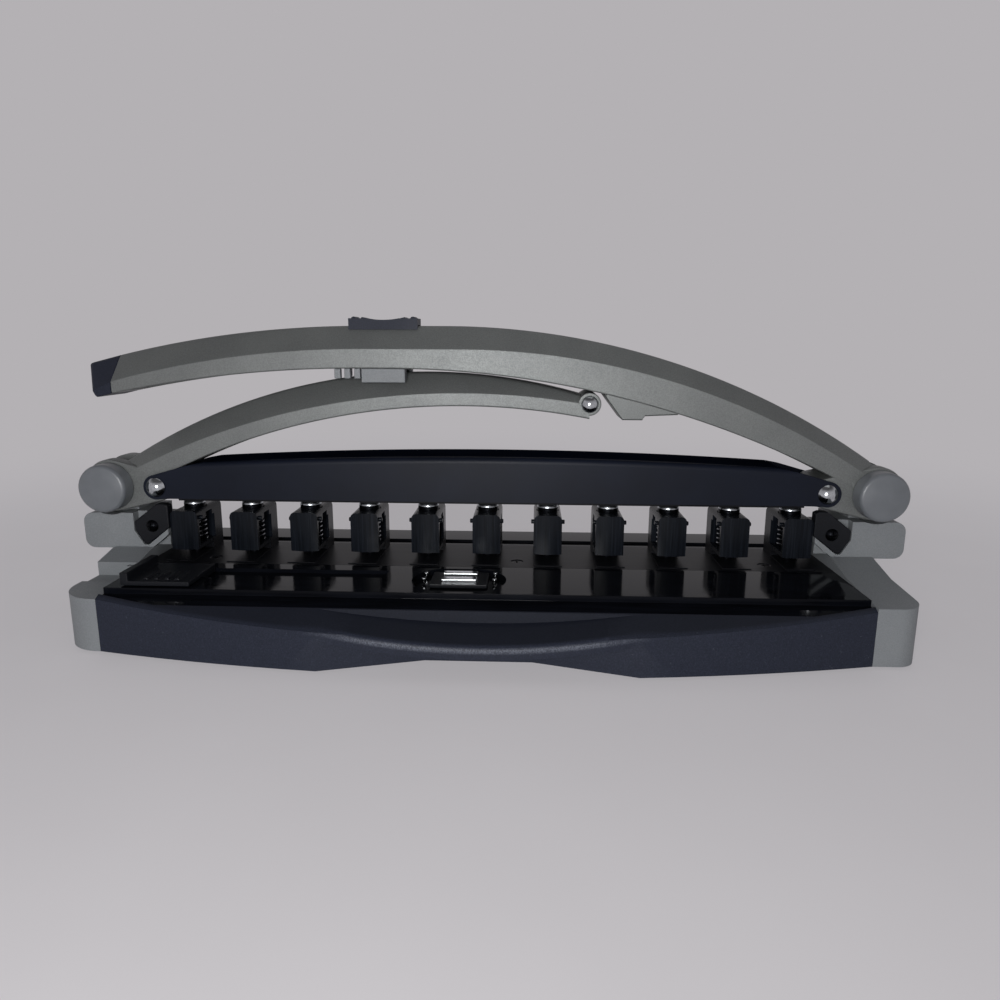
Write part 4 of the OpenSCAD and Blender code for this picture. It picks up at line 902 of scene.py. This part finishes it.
# %% [markdown]
# ## The pressure bar The bar is a strip of sheet steel, cut out flat with an ear at each end and then bent
# down on both sides. The bent channel is lofted over-long with its crowned top, and a prism of the cut-out
# shape is intersected with it. That leaves the flange in the middle and bare webs at the ears, as the press
# tool does.

# %% Bend the bar
OUTER, INNER, SHEET, BAR_LOW = 12.9, 11.3, 1.6, 44
FLANGE_X, EAR_R, PIN_BORE, SLOT_BORE = 118, 5.2, 2.5, 2.8


def bar_ring(x):
    """The bent sheet cut across, with its crowned top."""
    top = bow(x, 0, 67.3, 1990.9)
    corners = [(OUTER, BAR_LOW, 0), (OUTER, top, 2.6), (-OUTER, top, 2.6), (-OUTER, BAR_LOW, 0),
               (-INNER, BAR_LOW, 0), (-INNER, top - SHEET, 1.0),
               (INNER, top - SHEET, 1.0), (INNER, BAR_LOW, 0)]
    return [spot(x, p.x, p.y) for p in rounded(corners, 6)]


bar = loft("bar_skin", [bar_ring(-146 + 292 * k / 40) for k in range(41)])
ear = [(LINK_X + EAR_R * math.cos(math.radians(a)), PIVOT_Z + EAR_R * math.sin(math.radians(a)))
       for a in range(-105, 64, 6)]
right = [(131, 48.7)] + ear + [(124, 62.5), (FLANGE_X, 63.7), (FLANGE_X, 72)]
outline = right + [(-x, z) for x, z in reversed(right)]
combine(bar, loft("cut_out", [[spot(x, y, z) for x, z in outline] for y in (-18, 18)]), "INTERSECT")
for side in (-1, 1):
    ends = sorted((side * FLANGE_X, side * 150))
    combine(bar, box((ends[0], -INNER, 40), (ends[1], INNER, 80)), "DIFFERENCE")
combine(bar, rod(LINK_X, PIVOT_Z, PIN_BORE), "DIFFERENCE")
slot_cut = rod(-LINK_X, PIVOT_Z, SLOT_BORE)
combine(slot_cut, rod(-LINK_X - 1.3, PIVOT_Z, SLOT_BORE, 21), "UNION")
combine(bar, slot_cut, "DIFFERENCE")


def ease_edges(piece, width, angle=30, segments=2):
    """Round over every edge that is sharper than an angle."""
    take(piece)
    step = piece.modifiers.new("ease", "BEVEL")
    step.width = width / 1000
    step.segments = segments
    step.limit_method = "ANGLE"
    step.angle_limit = math.radians(angle)
    bpy.ops.object.modifier_apply(modifier=step.name)


ease_edges(bar, 0.3, 50)
wear(bar, "navy_powder_coat", "pressure_bar", "pressure_bar")

# %% [markdown]
# ## Copies along the row Springs, crowns and heads come eleven times, one standard pitch apart. Each is
# modelled once, at the left end of the row, and copied. A copy has its own mesh and is moved in edit mode,
# so that its object stays at the origin.

# %% Helpers to copy along the row
PITCH, COUNT = 25.4, 11
FIRST_X = -5 * PITCH


def twin(name, source):
    """A copy of an object with its own mesh."""
    piece = bpy.data.objects.new(name, source.data.copy())
    bpy.context.scene.collection.objects.link(piece)
    return piece


def row_of(first, prefix):
    """Copy the first piece along the row and use it up. Gives the number, the place and the copy."""
    row = []
    for k in range(COUNT):
        number = "%02d" % (k + 1)
        piece = twin(prefix + number, first)
        open_up(piece)
        bpy.ops.transform.translate(value=(k * PITCH / 1000, 0, 0))
        take(piece)
        row.append((number, FIRST_X + k * PITCH, piece))
    bpy.data.objects.remove(first)
    return row


print("row of", COUNT, "from", FIRST_X, "mm")

# %% [markdown]
# ## The return springs A spring sits in every head and lengthens when its cutter rises. One is made from a wire's round section with a Screw modifier, which turns and lifts it at once, and then it is moved to the row and copied.

# %% Wind the springs
WIRE, COIL, CURLS = 0.35, 4.1, 5
SPRING_LOW, SPRING_HIGH = 28.5, 39.0
take()
bpy.ops.mesh.primitive_circle_add(vertices=10, radius=WIRE / 1000, rotation=(math.pi / 2, 0, 0))
bpy.ops.object.transform_apply()
spring = fresh("spring")
bpy.ops.transform.translate(value=(COIL / 1000, 0, (SPRING_LOW + WIRE) / 1000))
take(spring)
wind = spring.modifiers.new("wind", "SCREW")
wind.steps = wind.render_steps = 20
wind.iterations = CURLS
wind.screw_offset = (SPRING_HIGH - SPRING_LOW - 2 * WIRE) / CURLS / 1000
bpy.ops.object.modifier_apply(modifier=wind.name)
open_up(spring)
bpy.ops.mesh.fill_holes(sides=0)
open_up(spring)
bpy.ops.transform.translate(value=spot(FIRST_X, 0, 0))
close_up(spring)

for number, x, coil in row_of(spring, "spring_"):
    take(coil)
    coil.data.materials.append(finishes["spring_steel"])
    bpy.ops.object.shade_smooth()
    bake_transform(coil)
    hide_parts("return_springs")
print("wound", COUNT, "springs")

# %% [markdown]
# ## The cutters' crowns The bar has rubbed the domed tops of the cutters bright, and they are what the eye
# finds first under the bar. A crown is a ball, cut in half and pressed flat, that sits on the dome of its
# cutter.

# %% Press the crowns
CROWN_R, CROWN_LOW, CROWN_H = 4.45, 44.7, 2.68
take()
bpy.ops.mesh.primitive_uv_sphere_add(segments=48, ring_count=24, radius=CROWN_R / 1000,
                                     location=spot(FIRST_X, 0, CROWN_LOW))
bpy.ops.object.transform_apply()
crown = fresh("crown")
bpy.ops.mesh.bisect(plane_co=spot(0, 0, CROWN_LOW), plane_no=(0, 0, 1), use_fill=True, clear_inner=True)
bpy.ops.mesh.select_all(action="SELECT")
bpy.ops.transform.resize(value=(1, 1, CROWN_H / CROWN_R), center_override=spot(0, 0, CROWN_LOW))
close_up(crown)
for number, _, piece in row_of(crown, "crown_"):
    wear(piece, "steel", "punch_pin_" + number, angle=50)

# %% [markdown]
# ## Merging and softening A node of the frame is made of loose triangles, and a bevel needs whole faces. So
# a copy has its doubles merged, and faces that lie in one plane are dissolved into one. Edges that are
# rounder than the rest are found by their place and by the faces that they join.


# %% Helpers to merge and soften
def merge_flats(piece):
    """Merge doubles, and faces that lie in one plane."""
    open_up(piece)
    bpy.ops.mesh.remove_doubles(threshold=DOUBLES)
    bpy.ops.mesh.dissolve_limited(angle_limit=math.radians(0.6))
    take(piece)


def moulded(node, name):
    """A copy of a node with its loose triangles merged into whole faces."""
    piece = twin(name, nodes[node])
    merge_flats(piece)
    return piece


def soften(piece, width, clamp, chosen):
    """Round over the edges chosen by their middle, in millimetres from the row, and their faces' normals."""
    take(piece)
    bpy.ops.object.mode_set(mode="EDIT")
    bpy.ops.mesh.select_mode(type="EDGE")
    bpy.ops.mesh.select_all(action="DESELECT")
    mesh = bmesh.from_edit_mesh(piece.data)
    for edge in mesh.edges:
        middle = (edge.verts[0].co + edge.verts[1].co) * 500 - Vector((0, ROW_Y, 0))
        if chosen(middle, sorted((face.normal for face in edge.link_faces), key=lambda normal: normal.z)):
            edge.select_set(True)
    bmesh.update_edit_mesh(piece.data)
    bpy.ops.mesh.bevel(offset=width / 1000, segments=4, clamp_overlap=clamp)
    take(piece)


print("ready to soften edges")

# %% [markdown]
# ## Eased mouldings The base, its ends, the deck, the brackets and the small slides are exact in the frame,
# but their edges are knife sharp. A real moulding has a small radius on every edge, and that radius is what
# catches the light. So each of them is copied, merged, and rounded over. The lip of the dish and the front
# rims of the towers get a wider bevel first.

# %% Round over the mouldings
LIP_HALF, LIP_Y = 42, -72
TOWER_X, TOWER_Y = 156, -13


def on_lip(middle, normals):
    """The edge between the front of the base and the floor of its dish."""
    return abs(middle.x) < LIP_HALF and middle.y < LIP_Y and normals[0].y < -0.98 and normals[-1].z > 0.9


def on_tower(middle, normals):
    """The front rim of a tower, outside its bracket."""
    on_rim = abs(middle.y - TOWER_Y) < 0.01 and abs(middle.x) > TOWER_X
    return on_rim and (normals[0].y < -0.99 or normals[-1].y < -0.99)


soft_edges = {"base_shell": (1.7, False, on_lip), "left_side_housing": (3.2, True, on_tower),
              "right_side_housing": (3.2, True, on_tower)}
for node, width in (
    ("base_shell", 0.6), ("left_side_housing", 1.0), ("right_side_housing", 1.0), ("deck_plate", 0.4),
    ("rear_cover", 0.5), ("die_plate", 0.25), ("left_end_bracket", 0.45), ("right_end_bracket", 0.45),
    ("edge_guide", 0.35), ("depth_slider", 0.3), ("lock_button", 0.35), ("handle_bumper", 0.35),
    ("chip_tray", 0.4),
):
    piece = moulded(node, node + "_skin")
    if node in soft_edges:
        soften(piece, *soft_edges[node])
    ease_edges(piece, width, 28)
    wear(piece, slot_of[node], nodes[node]["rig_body"], node, angle=32)

# %% [markdown]
# ## The heads All eleven heads are alike, so one is finished and copied. The solid's head is opened further
# at its sides, so that the coil shows, and its front gets a skirt that hangs down to the slit for the paper.
# A thin cross pin shows as a small nub on either side. These are plain blocks and cylinders, cut or joined
# with booleans, as by hand.

# %% Round over one head and copy it along the row
HEAD_HALF, RIDGE_Y = 5.75, -12.6
SKIRT_LOW, SKIRT_TOP, CUTTER_ROOM = 26.8, 30, 3.5
WINDOW_LOW, WINDOW_TOP = 28.4, 38.8
NUB_R, NUB_LENGTH = 0.9, 13.9
head = moulded("punch_head_01", "head")
outline = [(-HEAD_HALF, 2.6), (-HEAD_HALF, -11.7), (0, RIDGE_Y), (HEAD_HALF, -11.7), (HEAD_HALF, 2.6)]
skirt = loft("skirt", [[spot(FIRST_X + x, y, z) for x, y in outline] for z in (SKIRT_LOW, SKIRT_TOP)])
combine(head, skirt, "UNION")
combine(head, cylinder(CUTTER_ROOM, 8, spot(FIRST_X, 0, 28), sides=48), "DIFFERENCE")
combine(head, box((FIRST_X - 7, -10, WINDOW_LOW), (FIRST_X + 7, 5.5, WINDOW_TOP)), "DIFFERENCE")
merge_flats(head)
ease_edges(head, 0.3, 28)
cross_pin = cylinder(NUB_R, NUB_LENGTH, spot(FIRST_X, -8.5, 40), (0, math.pi / 2, 0))
ease_edges(cross_pin, 0.25, 60)
combine(head, cross_pin, "UNION")
for number, _, piece in row_of(head, "head_skin_"):
    wear(piece, "head_black", "base", "punch_head_" + number, angle=32)

# %% [markdown]
# ## The slider's posts and pads The small slider is pushed by two bright pads and held between four bright
# posts that stand in its pocket. The posts are short cylinders with eased ends. The pads are plates that
# cover the raised bars of the slider.

# %% Set the posts and the pads
SLIDER_X, SLIDER_Y, DECK_TOP = -9, -37, 23.5
POST_R, POST_LENGTH, POST_X, PAD_HALF = 0.8, 2.4, 13.6, 6.8
posts = []
for side in (-1, 1):
    for y in (0.2, 7.7):
        post = cylinder(POST_R, POST_LENGTH, spot(SLIDER_X + side * POST_X, SLIDER_Y + y, DECK_TOP - 0.6))
        ease_edges(post, 0.3, 60, 3)
        posts.append(post)
wear(joined("slider_posts", posts), "polished_steel", "base")
pads = []
for start in (-1.5, 6):
    pad = box((SLIDER_X - PAD_HALF, SLIDER_Y + start - 0.2, DECK_TOP - 0.5),
              (SLIDER_X + PAD_HALF, SLIDER_Y + start + 3.2, DECK_TOP + 0.8))
    ease_edges(pad, 0.4, 60, 3)
    pads.append(pad)
wear(joined("slider_pads", pads), "polished_steel", nodes["depth_slider"]["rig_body"])
